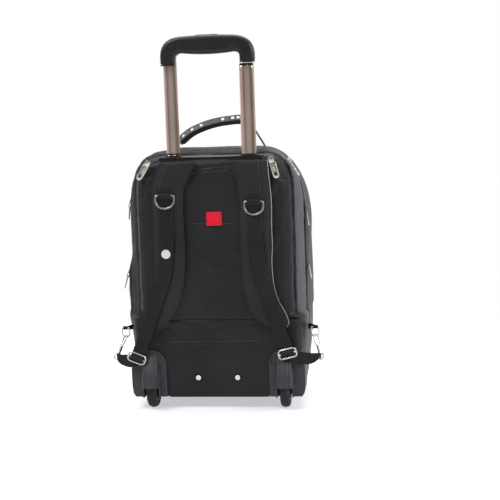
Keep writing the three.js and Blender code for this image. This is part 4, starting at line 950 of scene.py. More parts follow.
def webbing_centre(row, z):
    """The webbing's middle over the pad at a height, as a distance from the bag's middle."""
    table = sorted(
        (height * bag_top, across * bag_half + row["sway"] * swing)
        for across, height, lift, swing in web_rows
    )
    table.append((row["ring_z"] * bag_top, row["ring_x"] * bag_half))
    table.append((bag_top, row["ring_x"] * bag_half - 2))
    return float(np.interp(z, [t[0] for t in table], [t[1] for t in table]))


def lean_in(name, z):
    """How far the left strap leans towards the middle above its D-ring."""
    return 14.5 * min(1, max(0, (z - 421) / 48)) if name == "left" else 0


band_low = {"left": 344, "right": 336}
for name, row in strap_table.items():
    side = row["side"]
    rings = []
    edges = {"inner": [], "outer": []}
    stitches = {"one": [], "two": []}
    rows = spread_rows(pad_rows, 190)
    last = len(rows) - 1
    for index, (height, inner, outer, swing) in enumerate(rows):
        z = height * bag_top
        x0 = inner * bag_half + row["sway"] * swing - lean_in(name, z)
        x1 = outer * bag_half + row["sway"] * swing - lean_in(name, z)
        tip = min(1, (last - index) / 12) ** 0.5
        head = min(1, index / 5)
        middle, half = (x0 + x1) / 2, (x1 - x0) / 2
        web_x = webbing_centre(row, z) - lean_in(name, z)
        ring = []
        for u in np.linspace(-1, 1, 47):
            x = middle + u * half
            full = (1 - abs(u) ** 3.2) * (0.45 + 0.55 * tip) * (0.7 + 0.3 * head)
            rise = pad_gap + 4.6 + (pad_thick - 5.4) * full
            rise += 0.5 * soft_noise(x, side * 40, z, 34, 31) * (1 - u * u)
            rise -= 0.9 * crease(x, side * 40, z * 1.8, 40, 32) * 0.5 * (1 - u * u)
            off = abs(x - web_x)
            if z > band_low[name]:
                rise += 0.5 if off < 13.6 else 0
                rise -= 0.75 * math.exp(-((off - 13.6) / 0.7) ** 2)
            else:
                rise -= 0.8 * math.exp(-((off - 13.4) / 1.6) ** 2)
            rise -= 0.9 * math.exp(-((z - band_low[name]) / 0.9) ** 2)
            rise -= 0.6 * math.exp(-((abs(u) * half - (half - 4)) / 0.8) ** 2)
            ring.append((side * x, -min(rise, pad_gap + pad_thick + 0.5), z))
        edge_y = -(pad_gap + 4.4 * (0.6 + 0.4 * tip))
        bulge = 0.9
        ring.append((side * (x1 + bulge), edge_y * 0.8, z))
        for u in np.linspace(0.97, -0.97, 13):
            ring.append((side * (middle + u * half), -pad_gap, z))
        ring.append((side * (x0 - bulge), edge_y * 0.8, z))
        rings.append(ring)
        edges["inner"].append(place(side * (x0 - 0.6), edge_y, z))
        edges["outer"].append(place(side * (x1 + 0.6), edge_y, z))
        if z > band_low[name]:
            for key, away in (("one", -12.2), ("two", 12.2)):
                u = (web_x + away - middle) / half
                full = 1 - min(1, abs(u)) ** 3.2
                stitches[key].append(place(
                    side * (web_x + away), -(pad_gap + 5.1 + (pad_thick - 5.4) * full), z,
                ))
    pad = cloth_grid(f"strap_pad_{name}_cloth", rings)
    close_ends(pad, len(rings[0]), last)
    hand_over(pad, pad_nylon, nodes=[f"strap_pad_{name}"], angle=55)
    for edge_name, run in edges.items():
        edge_finish = pale_piping if (name, edge_name) == ("right", "outer") else edge_piping
        path = eased_path(run[::3] + [run[-1]], 3)
        bent_wire(f"strap_piping_{name}_{edge_name}", path, 0.8, edge_finish, closed=False)
    for key in ("one", "two"):
        stitch_row(f"strap_stitch_{key}_{name}", stitches[key], lambda spot: Vector((0, -1, 0)))

# Webbing
# Woven nylon tape, ribbed across, folded round the D-ring at its top, laid over the pad, and
# woven through a wire slide at its foot.
ribbed_webbing = woven_finish(
    "ribbed_webbing", (0.0085, 0.008, 0.0088), thread=1.3, rough=0.6, rib=2.0, bump=0.55,
)


def strap_strip(name, rows, thick, nodes=(), per_step=7):
    """Tape along rows of (centre, across, width) in metres and millimetres, with round edges."""
    centres = eased_path([row[0] for row in rows], per_step)
    acrosses = eased_path([row[1] for row in rows], per_step)
    wides = np.interp(
        np.linspace(0, len(rows) - 1, len(centres)), range(len(rows)), [row[2] for row in rows],
    )
    rings = []
    for i, centre in enumerate(centres):
        along = (centres[min(i + 1, len(centres) - 1)] - centres[max(i - 1, 0)]).normalized()
        across = (acrosses[i] - along * acrosses[i].dot(along)).normalized()
        out = across.cross(along)
        half = wides[i] / 2
        ring = []
        profile = [(u, 1) for u in np.linspace(-0.96, 0.96, 13)] + [(1, 0.45), (1, -0.45)]
        profile += [(u, -1) for u in np.linspace(0.96, -0.96, 13)] + [(-1, -0.45), (-1, 0.45)]
        for u, v in profile:
            spot = centre + across * u * half * mm + out * v * thick / 2 * mm
            ring.append((spot.x / mm, (spot.y - crown) / mm, spot.z / mm))
        rings.append(ring)
    piece = cloth_grid(name, rings)
    close_ends(piece, len(rings[0]), len(rings) - 1)
    hand_over(piece, ribbed_webbing, nodes=nodes, angle=50)


# D-rings, slides, snap hooks and side rings
# Bent steel wire, nickel plated, each closed into a loop.
def metal_finish(name, colour, rough=0.22, wear=0.12):
    """Plated or polished metal with fine wear in its gloss and a slightly darker tone in places."""
    material = bpy.data.materials.new(name)
    material.use_nodes = True
    tree = material.node_tree
    coordinates = tree.nodes.new("ShaderNodeTexCoord")
    cloud = tree.nodes.new("ShaderNodeTexNoise")
    cloud.inputs["Scale"].default_value = 160
    cloud.inputs["Detail"].default_value = 6
    tree.links.new(coordinates.outputs["Object"], cloud.inputs["Vector"])
    gloss = tree.nodes.new("ShaderNodeMapRange")
    gloss.inputs["From Min"].default_value = 0.35
    gloss.inputs["From Max"].default_value = 0.7
    gloss.inputs["To Min"].default_value = rough
    gloss.inputs["To Max"].default_value = rough + wear
    tree.links.new(cloud.outputs["Fac"], gloss.inputs["Value"])
    tree.links.new(gloss.outputs["Result"], socket(material, "Roughness"))
    tone = tree.nodes.new("ShaderNodeMix")
    tone.data_type = "RGBA"
    tone.inputs["A"].default_value = (*colour, 1)
    tone.inputs["B"].default_value = (*[c * 0.72 for c in colour], 1)
    tree.links.new(cloud.outputs["Fac"], tone.inputs["Factor"])
    tree.links.new(tone.outputs["Result"], socket(material, "Base Color"))
    socket(material, "Metallic").default_value = 1
    return material


nickel = metal_finish("nickel_plate", (0.62, 0.61, 0.59), rough=0.2)
dull_nickel = metal_finish("dull_nickel", (0.32, 0.31, 0.31), rough=0.34)


def ring_points(points, origin, x_way, y_way):
    return [origin + x_way * u * mm + y_way * v * mm for u, v in points]


def d_points(width, drop):
    """The outline of a D-ring: a straight bar, short straight sides and a round foot."""
    half = width / 2
    side_drop = drop - half * 0.92
    points = [(u, 0) for u in np.linspace(-half * 0.86, half * 0.86, 9)]
    points += [(half * 0.97, -half * 0.06), (half, -half * 0.2)]
    points += [(half, -v) for v in np.linspace(half * 0.3, side_drop, 4)]
    for step in range(1, 18):
        angle = step / 18 * math.pi
        points.append((half * math.cos(angle), -side_drop - (drop - side_drop) * math.sin(angle)))
    points += [(-half, -v) for v in np.linspace(side_drop, half * 0.3, 4)]
    points += [(-half, -half * 0.2), (-half * 0.97, -half * 0.06)]
    return points


def round_points(width, height, radius, steps=8):
    points = []
    for quarter, (sx, sy) in enumerate(((1, 1), (-1, 1), (-1, -1), (1, -1))):
        for step in range(steps + 1):
            angle = (quarter + step / steps) * math.pi / 2
            points.append((
                sx * (width / 2 - radius) + radius * math.cos(angle),
                sy * (height / 2 - radius) + radius * math.sin(angle),
            ))
    return points


ring_width, ring_drop, ring_wire = 39, 28, 4
keeper_height = 11
slide_length, slide_height, slide_wire, slide_y = 37, 20.5, 3.4, -17
hook_wire, hook_eye, hook_loop_wide, hook_loop_tall, hook_length = 2.6, 5.5, 8, 12, 45
hook_out, hook_drop, hook_eye_y, side_ring_y = 18, 53, 6, 28
side_ring_width, side_ring_drop = 14, 18
tab_wide = 8
x_way, y_way, z_way = Vector((1, 0, 0)), Vector((0, 1, 0)), Vector((0, 0, 1))


def side_of_bag(y, z):
    """Half the width of the bag at a depth and a height."""
    ring = [point for point in outline_ring(y) if point[0] > 60]
    ring.sort(key=lambda point: point[1])
    return float(np.interp(z, [p[1] for p in ring], [p[0] for p in ring]))


for name, row in strap_table.items():
    side = row["side"]
    turn = math.radians(row["turn"]) * -side
    slide_across = Vector((math.cos(turn), 0, math.sin(turn))) * side
    slide_up = Vector((-math.sin(turn), 0, math.cos(turn)))
    slide_centre = place(side * row["slide_x"] * bag_half, slide_y, row["slide_z"] * bag_top)
    ring_x, ring_z = side * row["ring_x"] * bag_half, row["ring_z"] * bag_top
    bar_step = (slide_height - slide_wire) / 2
    weave = slide_wire / 2 + web_thick / 2 + 2 * seam_gap
    path = [place(ring_x, web_y, ring_z - keeper_height * 0.3)]
    for across, height, lift, swing in web_rows:
        path.append(place(
            side * (across * bag_half + row["sway"] * swing), web_y - lift * pad_thick, height * bag_top,
        ))
    on_strap = len(path)
    for step in (1.5, 1, 0.5, 0, -0.5, -1, -1.45):
        spot = slide_centre + slide_up * step * bar_step * mm - y_way * weave * math.cos(step * math.pi) * mm
        if abs(step) > 1.4:
            spot.y = crown + (slide_y + weave) * mm
        path.append(spot)
    web = []
    for i, centre in enumerate(path):
        before, after = path[max(0, i - 1)], path[min(len(path) - 1, i + 1)]
        across = Vector((after.z - before.z, 0, -(after.x - before.x))).normalized() * -side
        web.append((centre, across if i < on_strap else slide_across, web_wide))
    strap_strip(f"strap_webbing_{name}_tape", web, web_thick, [f"strap_webbing_{name}"])

    keeper_y = web_y - web_thick / 2 - ring_wire / 2 - seam_gap
    ring_place = place(ring_x, keeper_y, ring_z)
    loop = []
    loop_radius = ring_wire / 2 + seam_gap + web_thick / 2
    foot = -keeper_height / 2 - 2
    loop.append((place(ring_x, web_y - web_thick - 0.1, ring_z + foot), x_way * side, web_wide))
    loop.append((place(ring_x, web_y - web_thick - 1.2, ring_z + foot * 0.6), x_way * side, web_wide))
    for step in range(9):
        angle = math.radians(-60 + step * 300 / 8)
        loop.append((
            place(ring_x, keeper_y - loop_radius * math.cos(angle), ring_z + loop_radius * math.sin(angle)),
            x_way * side, web_wide,
        ))
    del loop[-3:]
    for deep, above in ((0.1 - web_thick / 2, 0.5), (0.3, 5)):
        end = place(ring_x, web_y + deep, ring_z + keeper_height / 2 + above)
        loop.append((end, x_way * side, web_wide))
    strap_strip(f"ring_keeper_{name}", loop, web_thick, per_step=4)
    bent_wire(
        f"strap_ring_{name}_wire",
        ring_points(d_points(ring_width - ring_wire, ring_drop - ring_wire), ring_place, x_way, z_way),
        ring_wire / 2, dull_nickel, body=f"ring_{name}", nodes=[f"strap_ring_{name}"],
        sides=4,
    )
    slide_points = round_points(slide_length - slide_wire, slide_height - slide_wire, 6.5)
    bent_wire(
        f"strap_slide_{name}_frame", ring_points(slide_points, slide_centre, slide_across * side, slide_up),
        slide_wire / 2, nickel, nodes=[f"strap_slide_{name}"], sides=4,
    )
    bar_half = (slide_length - slide_wire) / 2
    bent_wire(
        f"strap_slide_{name}_bar",
        [slide_centre + slide_across * u * mm for u in np.linspace(-bar_half, bar_half, 5)],
        slide_wire / 2 * 0.92, nickel, closed=False,
    )

    seam_y = main_zip_to + 10
    tab_z = row["tab_z"] * bag_top
    tab_top = place(side * (bag_half + row["tab_out"]), side_ring_y, tab_z)
    root_x = side_of_bag(seam_y + web_thick, tab_z) + seam_gap + web_thick
    tab_root = place(side * root_x, seam_y, tab_z - 2)
    fold_radius = hook_wire / 2 + 0.5 + web_thick / 2
    toward = (tab_top - tab_root).normalized()
    off = toward.cross(x_way).normalized()
    if off.z < 0:
        off = -off
    tab_rows = [(tab_root - off * 0.9 * mm, z_way.lerp(x_way, 0.05), tab_wide)]
    tab_rows.append((tab_root.lerp(tab_top, 0.55) - off * 1.5 * mm, z_way.lerp(x_way, 0.6), tab_wide))
    for step in range(7):
        angle = math.radians(-100 + step * 200 / 6)
        tab_rows.append((
            tab_top + (toward * math.cos(angle) + off * math.sin(angle)) * fold_radius * mm, x_way, tab_wide,
        ))
    tab_rows.append((tab_root.lerp(tab_top, 0.55) + off * 1.5 * mm, z_way.lerp(x_way, 0.6), tab_wide))
    tab_rows.append((tab_root + off * 0.9 * mm, z_way.lerp(x_way, 0.05), tab_wide))
    strap_strip(f"ring_tab_{name}_tape", tab_rows, web_thick * 0.85, [f"ring_tab_{name}"], per_step=4)
    bent_wire(
        f"hook_ring_{name}_wire",
        ring_points(d_points(side_ring_width, side_ring_drop), tab_top, x_way, z_way),
        hook_wire / 2, nickel, nodes=[f"hook_ring_{name}"], sides=4,
    )

    loop_top = tab_top + Vector((0, 0, -side_ring_drop + hook_wire * 1.5)) * mm
    eye_place = place(side * (bag_half + hook_out), hook_eye_y, tab_z - hook_drop)
    axis = (loop_top - eye_place).normalized()
    hook_turn = Vector((0, 0, 1)).rotation_difference(axis).to_matrix()
    hook_origin = loop_top - axis * hook_length * mm
    loop_spin = Matrix.Rotation(side * math.pi / 3, 3, "Z")
    loop_middle = hook_length - hook_loop_tall
    loop_x = hook_turn @ (loop_spin @ x_way)
    loop_centre = hook_origin + axis * loop_middle * mm
    loop_shape = round_points(hook_loop_wide * 2, hook_loop_tall * 2, hook_loop_wide * 0.95)
    bent_wire(
        f"snap_hook_{name}_loop", ring_points(loop_shape, loop_centre, loop_x, axis),
        hook_wire / 2, nickel, nodes=[f"snap_hook_{name}"], sides=4,
    )
    eye_shape = round_points(hook_eye * 2, hook_eye * 2, hook_eye * 0.98)
    bent_wire(
        f"snap_hook_{name}_eye", ring_points(eye_shape, hook_origin, hook_turn @ x_way, axis),
        hook_wire / 2, nickel, sides=4,
    )
    barrel_from, barrel_to = hook_eye - 1, loop_middle - hook_loop_tall + 1
    barrel_path = [hook_origin + axis * share * mm for share in np.linspace(barrel_from, barrel_to, 4)]
    bent_wire(
        f"snap_hook_{name}_barrel", barrel_path, hook_wire * 1.25, nickel,
        closed=False, sides=5,
    )
    for ring_number, share in enumerate((barrel_from + 0.6, barrel_to - 0.6)):
        collar = [
            hook_origin + axis * share * mm
            + hook_turn @ Vector((math.cos(a), math.sin(a), 0)) * hook_wire * 1.25 * mm
            for a in np.linspace(0, 2 * math.pi, 20)[:-1]
        ]
        bent_wire(f"snap_hook_{name}_bead_{ring_number}", collar, 0.7, nickel)

    through = hook_turn @ y_way
    start = slide_centre - slide_up * bar_step * 0.8 * mm
    start.y = crown + (slide_y + weave + web_thick + 2 * seam_gap) * mm
    meet = hook_origin - through * 8 * mm
    hook_rows = []
    droop = ((0, 0, 25, -0.3), (0.35, 4, 25, -0.1), (0.7, 5, 21.2, 0), (0.93, 1, 11.2, 0))
    for share, sag, wide, lean in droop:
        centre = start.lerp(meet, share) - z_way * sag * mm
        hook_rows.append((centre, Vector((side * lean, 0, 1)).normalized(), wide))
    for past in (-3.5, 0, 3.5):
        hook_rows.append((hook_origin + through * past * mm, z_way, web_wide * 0.26))
    strap_strip(f"hook_webbing_{name}_tape", hook_rows, web_thick, [f"hook_webbing_{name}"])

# Wheel housings
# Injection-moulded corners, screwed through the cloth: an arched plate behind the bag, a ribbed
# fender over the wheel, and a guard that wraps round the bag's lower corner.
def moulded_finish(name, colour, rough=0.42, grain=0.5, scale=900, shine=0.3, wear=0.5):
    """Textured plastic: fine pebbled grain, and paler rubbed patches with less gloss."""
    material = bpy.data.materials.new(name)
    material.use_nodes = True
    tree = material.node_tree
    add, link = tree.nodes.new, tree.links.new
    coordinates = add("ShaderNodeTexCoord")
    pebbles = add("ShaderNodeTexVoronoi")
    pebbles.inputs["Scale"].default_value = scale
    link(coordinates.outputs["Object"], pebbles.inputs["Vector"])
    scuff = add("ShaderNodeTexNoise")
    scuff.inputs["Scale"].default_value = 38
    scuff.inputs["Detail"].default_value = 8
    link(coordinates.outputs["Object"], scuff.inputs["Vector"])
    rubbed = add("ShaderNodeMapRange")
    rubbed.inputs["From Min"].default_value = 0.55
    rubbed.inputs["From Max"].default_value = 0.8
    rubbed.inputs["To Max"].default_value = wear
    link(scuff.outputs["Fac"], rubbed.inputs["Value"])
    tone = add("ShaderNodeMix")
    tone.data_type = "RGBA"
    tone.inputs["A"].default_value = (*colour, 1)
    tone.inputs["B"].default_value = (*[min(1, c * 2.4 + 0.008) for c in colour], 1)
    link(rubbed.outputs["Result"], tone.inputs["Factor"])
    link(tone.outputs["Result"], socket(material, "Base Color"))
    gloss = add("ShaderNodeMapRange")
    gloss.inputs["To Min"].default_value = rough - 0.08
    gloss.inputs["To Max"].default_value = rough + 0.16
    link(scuff.outputs["Fac"], gloss.inputs["Value"])
    link(gloss.outputs["Result"], socket(material, "Roughness"))
    relief = add("ShaderNodeBump")
    relief.inputs["Strength"].default_value = grain
    relief.inputs["Distance"].default_value = 0.12 * mm
    link(pebbles.outputs["Distance"], relief.inputs["Height"])
    link(relief.outputs["Normal"], socket(material, "Normal"))
    socket(material, "Specular IOR Level").default_value = shine
    return material


def slab(name, outline, low, high, way, round_edge=0.6, segments=2):
    """A flat moulded piece: an outline in millimetres pushed out between two levels along an axis,
    with rounded edges. way names the axis; y is measured from the crown of the back."""
    bpy.ops.object.select_all(action="DESELECT")
    bpy.ops.mesh.primitive_circle_add(vertices=len(outline), radius=1, fill_type="NGON")
    piece = bpy.context.object
    piece.name = name
    piece.data.name = name
    for vertex, (u, v) in zip(piece.data.vertices, outline):
        if way == "y":
            vertex.co = place(u, low, v)
        elif way == "z":
            vertex.co = place(u, v, low)
        else:
            vertex.co = place(low, u, v)
    step = {"x": Vector((1, 0, 0)), "y": Vector((0, 1, 0)), "z": Vector((0, 0, 1))}[way] * (high - low) * mm
    bpy.ops.object.mode_set(mode="EDIT")
    bpy.ops.mesh.select_all(action="SELECT")
    bpy.ops.mesh.extrude_region_move(TRANSFORM_OT_translate={"value": step})
    bpy.ops.mesh.select_all(action="SELECT")
    bpy.ops.mesh.normals_make_consistent(inside=False)
    bpy.ops.object.mode_set(mode="OBJECT")
    if round_edge:
        apply_modifier(
            piece, "BEVEL", width=round_edge * mm, segments=segments, limit_method="ANGLE",
            angle_limit=math.radians(50),
        )
    return piece


def join_pieces(name, parts):
    bpy.ops.object.select_all(action="DESELECT")
    for part in parts:
        part.select_set(True)
    bpy.context.view_layer.objects.active = parts[0]
    bpy.ops.object.join()
    piece = bpy.context.object
    piece.name = name
    piece.data.name = name
    return piece


def rod(radius, depth, centre, turn, vertices):
    """A cylinder with its sizes in millimetres, about a point in metres, with its turn applied."""
    bpy.ops.object.select_all(action="DESELECT")
    bpy.ops.mesh.primitive_cylinder_add(
        vertices=vertices, radius=radius * mm, depth=depth * mm, rotation=turn, location=centre,
    )
    bpy.ops.object.transform_apply(location=True, rotation=True, scale=True)
    return bpy.context.object


def bead(radius, wire, centre, around, across):
    """A ring of round wire that faces the harness side, with its sizes in millimetres."""
    bpy.ops.object.select_all(action="DESELECT")
    bpy.ops.mesh.primitive_torus_add(
        major_radius=radius * mm, minor_radius=wire * mm, major_segments=around, minor_segments=across,
        rotation=(math.pi / 2, 0, 0), location=centre,
    )
    bpy.ops.object.transform_apply(location=True, rotation=True, scale=True)
    return bpy.context.object


def cut_out(piece, tool):
    """Takes one piece out of another."""
    apply_modifier(piece, "BOOLEAN", operation="DIFFERENCE", object=tool, solver="EXACT")
    bpy.data.objects.remove(tool, do_unlink=True)


housing_plastic = moulded_finish("housing_plastic", (0.036, 0.035, 0.040), rough=0.5, wear=0.35)
wheel_x, wheel_y, wheel_radius = 127, 15, 38
housing_half, housing_spring = 29, 86
guard_out, guard_top = 42, 82
housing_back, housing_front = -3, 62
fender_bulge, fender_half, slot_half, slot_top = 26, 17, 13.6, 46
well_outer, well_inner, well_from, well_turn, well_steps = 44.5, 41.5, -12, 204, 32
axle_radius = 4


def arch_outline(side, grow=0.0):
    """A housing's outline as (x, z) points: inner side, arch, then the guard down the outside."""
    inner = wheel_x - housing_half - grow
    outer = wheel_x + housing_half + grow
    points = [(inner, bag_bottom), (inner, housing_spring)]
    for step in range(1, 25):
        angle = math.pi * (1 - step / 24)
        points.append((
            wheel_x + (housing_half + grow) * math.cos(angle),
            housing_spring + (housing_half + grow) * math.sin(angle),
        ))
    edge = wheel_x + guard_out + grow
    points += [(outer, guard_top + 6), (edge - 6, guard_top + 3), (edge - 3.5, guard_top - 3)]
    points += [(edge - 3.5, 58), (edge - 4, 42), (edge - 5.5, 31), (edge - 10, bag_bottom)]
    return [(side * x, z) for x, z in points]


for name, side in (("left", -1), ("right", 1)):
    centre = side * wheel_x
    plate = slab(f"housing_plate_{name}", arch_outline(side), housing_back, housing_back + 3.2, "y", 1.1, 3)
    guard_points = arch_outline(side)[-7:]
    guard = slab(
        f"housing_guard_{name}",
        [(side * (wheel_x + housing_half - 4), guard_top)] + guard_points
        + [(side * (wheel_x + guard_out - 16), bag_bottom)],
        housing_back + 1, housing_front, "y", 1.4, 3,
    )
    rim_path = [place(x, housing_back - 0.2, z) for x, z in arch_outline(side, -2.4)[1:26]]
    rim = bent_wire(f"housing_rim_{name}", rim_path, 1.5, housing_plastic, closed=False)
    # Fender: rings from its top on the arch down to the slot, each a rounded bump with channels.
    rings = []
    for share in np.linspace(0, 1, 34):
        z = housing_spring + housing_half * 0.72 - share * (housing_spring + housing_half * 0.72 - slot_top)
        swell = math.sin(min(1, share * 1.25) * math.pi / 2) ** 1.25
        half = fender_half * (0.62 + 0.38 * min(1, share * 1.7) ** 0.7)
        deep = fender_bulge * swell + 1.0
        ring = []
        for u in np.linspace(-1, 1, 57):
            profile = (1 - abs(u) ** 5) ** 0.35
            channel = 0.0
            for mid in (-0.5, 0.5):
                channel += math.exp(-((u - mid) / 0.12) ** 2)
            y = housing_back - deep * profile + 1.9 * channel * min(1, share * 5) * (0.4 + 0.6 * profile)
            ring.append((centre + u * half, y, z))
        rings.append(ring)
    fender = cloth_grid(f"housing_fender_{name}", rings, closed=False)
    face_back(fender)
    thicken(fender, 2.6)
    well = []
    for radius, steps in ((well_outer, range(well_steps + 1)), (well_inner, range(well_steps, -1, -1))):
        for step in steps:
            angle = math.radians(well_from + step * well_turn / well_steps)
            well.append((wheel_y + radius * math.cos(angle), wheel_radius + radius * math.sin(angle)))
    well = [(y, z) for y, z in well if y > housing_back]
    arch_in = slab(f"housing_well_{name}", well, centre - slot_half, centre + slot_half, "x", 0)
    cheeks = []
    for way in (-1, 1):
        cheek = []
        for step in range(25):
            angle = step / 24 * math.pi
            cheek.append((
                wheel_y + well_outer * math.cos(angle), wheel_radius + well_outer * math.sin(angle),
            ))
        cheek += [(housing_back, bag_bottom), (wheel_y + 43, bag_bottom)]
        cheek = [(max(housing_back, y), z) for y, z in cheek]
        near, far = sorted((centre + way * slot_half, centre + way * (slot_half + 3)))
        cheeks.append(slab(f"housing_cheek_{name}_{way}", cheek, near, far, "x", 0.4))
    slot_outline = [
        (centre - slot_half, -5), (centre + slot_half, -5),
        (centre + slot_half, slot_top), (centre - slot_half, slot_top),
    ]
    slot_tool = slab("slot_tool", slot_outline, housing_back - 4, housing_back + 8, "y", 0)
    cut_out(plate, slot_tool)
    lips = []
    for way in (-1, 1):
        x0 = centre + way * slot_half
        x1 = x0 + way * 3.2
        lip_outline = [(x0, bag_bottom), (x1, bag_bottom), (x1, slot_top + 4), (x0, slot_top + 4)]
        lips.append(slab(
            f"housing_lip_{name}_{way}", lip_outline, housing_back - 9, housing_back + 2, "y", 0.9, 2,
        ))
    screws = []
    for sx, sz in ((-0.72, housing_spring), (0.72, housing_spring), (1.2, 44)):
        screw_at = place(centre + side * sx * housing_half, housing_back - 0.2, sz)
        screw = rod(3, 1.2, screw_at, (math.pi / 2, 0, 0), 28)
        apply_modifier(screw, "BEVEL", width=0.4 * mm, segments=2, limit_method="ANGLE")
        screws.append(screw)
    axle_at = place(centre, wheel_y, wheel_radius)
    pin = rod(axle_radius, 2 * slot_half + 4, axle_at, (0, math.pi / 2, 0), 32)
    housing = join_pieces(
        f"wheel_housing_{name}_moulding", [plate, guard, fender, arch_in, *cheeks, *lips, *screws, pin],
    )
    hand_over(housing, housing_plastic, nodes=[f"wheel_housing_{name}"], angle=40)

# Wheels
# A soft black tyre with a round, grooved tread, on a moulded hub with six spokes.
tyre_rubber = moulded_finish(
    "tyre_rubber", (0.016, 0.016, 0.017), rough=0.72, scale=420, shine=0.25, wear=0.8,
)
hub_plastic = moulded_finish("hub_plastic", (0.05, 0.05, 0.055), rough=0.4)
wheel_half = 9
hub_radius = 25
tyre_profile = []
for step in range(15):
    angle = math.pi * step / 14
    tyre_profile.append((math.cos(angle) * wheel_half, wheel_radius - 6.5 + 6.5 * math.sin(angle) ** 0.8))
tyre_profile += [(-wheel_half * 0.86, 27.5), (-wheel_half * 0.8, hub_radius + 0.3)]
tyre_profile += [(wheel_half * 0.8, hub_radius + 0.3), (wheel_half * 0.86, 27.5)]


def turned(name, profile, centre, steps):
    """A piece turned about the axle: a profile of (across, radius) swept round a full turn."""
    rings = []
    for step in range(steps):
        angle = 2 * math.pi * step / steps
        rings.append([
            (centre[0] + across, centre[1] + radius * math.cos(angle), centre[2] + radius * math.sin(angle))
            for across, radius in profile
        ])
    rings.append(rings[0])
    piece = cloth_grid(name, rings)
    weld(piece)
    return piece


for name, side in (("left", -1), ("right", 1)):
    axle = (side * wheel_x, wheel_y, wheel_radius)
    tyre = turned(f"wheel_tyre_{name}_rubber", tyre_profile, axle, 96)

    def tread(x, y, z):
        radius = math.hypot(y - wheel_y, z - wheel_radius)
        if radius < wheel_radius - 5:
            return 0.0
        angle = math.atan2(z - wheel_radius, y - wheel_y)
        groove = math.exp(-((abs(x - axle[0]) - 3.2) / 0.7) ** 2)
        scratch = soft_noise(x * 3, y, z, 9, 41) * 0.12
        shoulder_cut = 0.18 * (0.5 + 0.5 * math.sin(angle * 60)) * (abs(x - axle[0]) > 3.8)
        return -0.5 * groove - shoulder_cut + scratch - 0.15

    push_out(tyre, tread)
    hand_over(tyre, tyre_rubber, body=f"wheel_{name}", nodes=[f"wheel_tyre_{name}"])
    one_side = [
        (wheel_half * 0.8, hub_radius), (wheel_half * 0.95, hub_radius - 0.8),
        (wheel_half * 0.95, hub_radius - 3), (wheel_half * 0.7, hub_radius - 4), (2, hub_radius - 4.5),
        (2, 9.5), (wheel_half * 0.9, 8.8), (wheel_half, 8), (wheel_half, axle_radius + 0.3),
    ]
    hub_profile = [(-across, radius) for across, radius in one_side] + one_side[::-1]
    hub = turned(f"wheel_hub_{name}_body", hub_profile, axle, 64)
    spokes = []
    for arm in range(6):
        angle = arm * math.pi / 3
        bpy.ops.object.select_all(action="DESELECT")
        bpy.ops.mesh.primitive_cube_add(size=1, location=(0, 0, 0))
        spoke = bpy.context.object
        spoke.scale = (wheel_half * 1.6 * mm, 13 * mm, 3 * mm)
        bpy.ops.object.transform_apply(location=False, rotation=False, scale=True)
        spin = Matrix.Rotation(angle, 4, "X")
        spoke.data.transform(Matrix.Translation(place(*axle)) @ spin @ Matrix.Translation((0, 15 * mm, 0)))
        apply_modifier(spoke, "BEVEL", width=0.6 * mm, segments=2, limit_method="ANGLE")
        spokes.append(spoke)
    hub = join_pieces(f"wheel_hub_{name}_body", [hub, *spokes])
    hand_over(hub, hub_plastic, body=f"wheel_{name}", nodes=[f"wheel_hub_{name}"])

# Base plate and rivets
# A moulded tray closes the bottom and turns up behind the lower panel, with two front feet.
# Two domed rivets hold the upstand through the cloth.
base_plastic = moulded_finish("base_plastic", (0.018, 0.018, 0.020), rough=0.5)
for material_slot in bpy.data.objects["base_plate"].material_slots:
    material_slot.material = base_plastic
rivet_metal = moulded_finish("rivet_enamel", (0.74, 0.73, 0.70), rough=0.3, wear=0.05)
washer_plastic = moulded_finish("washer_plastic", (0.004, 0.004, 0.0045), rough=0.5, shine=0.1)
rivet_x, rivet_z = 37.5, 60
for name, side in (("left", -1), ("right", 1)):
    bpy.ops.object.select_all(action="DESELECT")
    bpy.ops.mesh.primitive_uv_sphere_add(
        segments=40, ring_count=20, radius=5 * mm, location=place(side * rivet_x, -0.1, rivet_z),
    )
    head = bpy.context.object
    head.scale = (1, 0.34, 1)
    bpy.ops.object.transform_apply(location=True, rotation=True, scale=True)
    washer = bead(6.2, 0.9, place(side * rivet_x, 0.1, rivet_z), 48, 10)
    washer.name = f"rivet_washer_{name}"
    hand_over(washer, washer_plastic)
    head.name = f"rivet_{name}_head"
    hand_over(head, rivet_metal, nodes=[f"rivet_{name}"])

# Poles of the pull handle
# Anodised aluminium tubes in three stages, each with a shallow flute down its back and a black
# moulded collar where the next stage leaves it. Across each tube the colour carries painted reflections: a
# pale pink highlight down its left edge and dark bands of painted shade.
pole_apart, pole_y = 142, 20.8
tube_wide, tube_deep, tube_wall = 23, 12, 1.0
stage_grow = 2 * (seam_gap + tube_wall)
anodised_painted_reflections = bpy.data.materials.new("bronze_anodised")
anodised_painted_reflections.use_nodes = True
tree = anodised_painted_reflections.node_tree
add, link = tree.nodes.new, tree.links.new
coordinates = add("ShaderNodeTexCoord")
stretch = add("ShaderNodeMapping")
stretch.inputs["Scale"].default_value = (1, 1, 0.012)
link(coordinates.outputs["Object"], stretch.inputs["Vector"])
drawn = add("ShaderNodeTexNoise")
drawn.inputs["Scale"].default_value = 2600
drawn.inputs["Detail"].default_value = 3
link(stretch.outputs["Vector"], drawn.inputs["Vector"])
smear = add("ShaderNodeTexNoise")
smear.inputs["Scale"].default_value = 26
smear.inputs["Detail"].default_value = 5
link(coordinates.outputs["Object"], smear.inputs["Vector"])
drawn_tone = add("ShaderNodeMix")
drawn_tone.data_type = "RGBA"
drawn_tone.inputs["A"].default_value = (0.88, 0.88, 0.88, 1)
drawn_tone.inputs["B"].default_value = (1.0, 1.0, 1.0, 1)
link(drawn.outputs["Fac"], drawn_tone.inputs["Factor"])
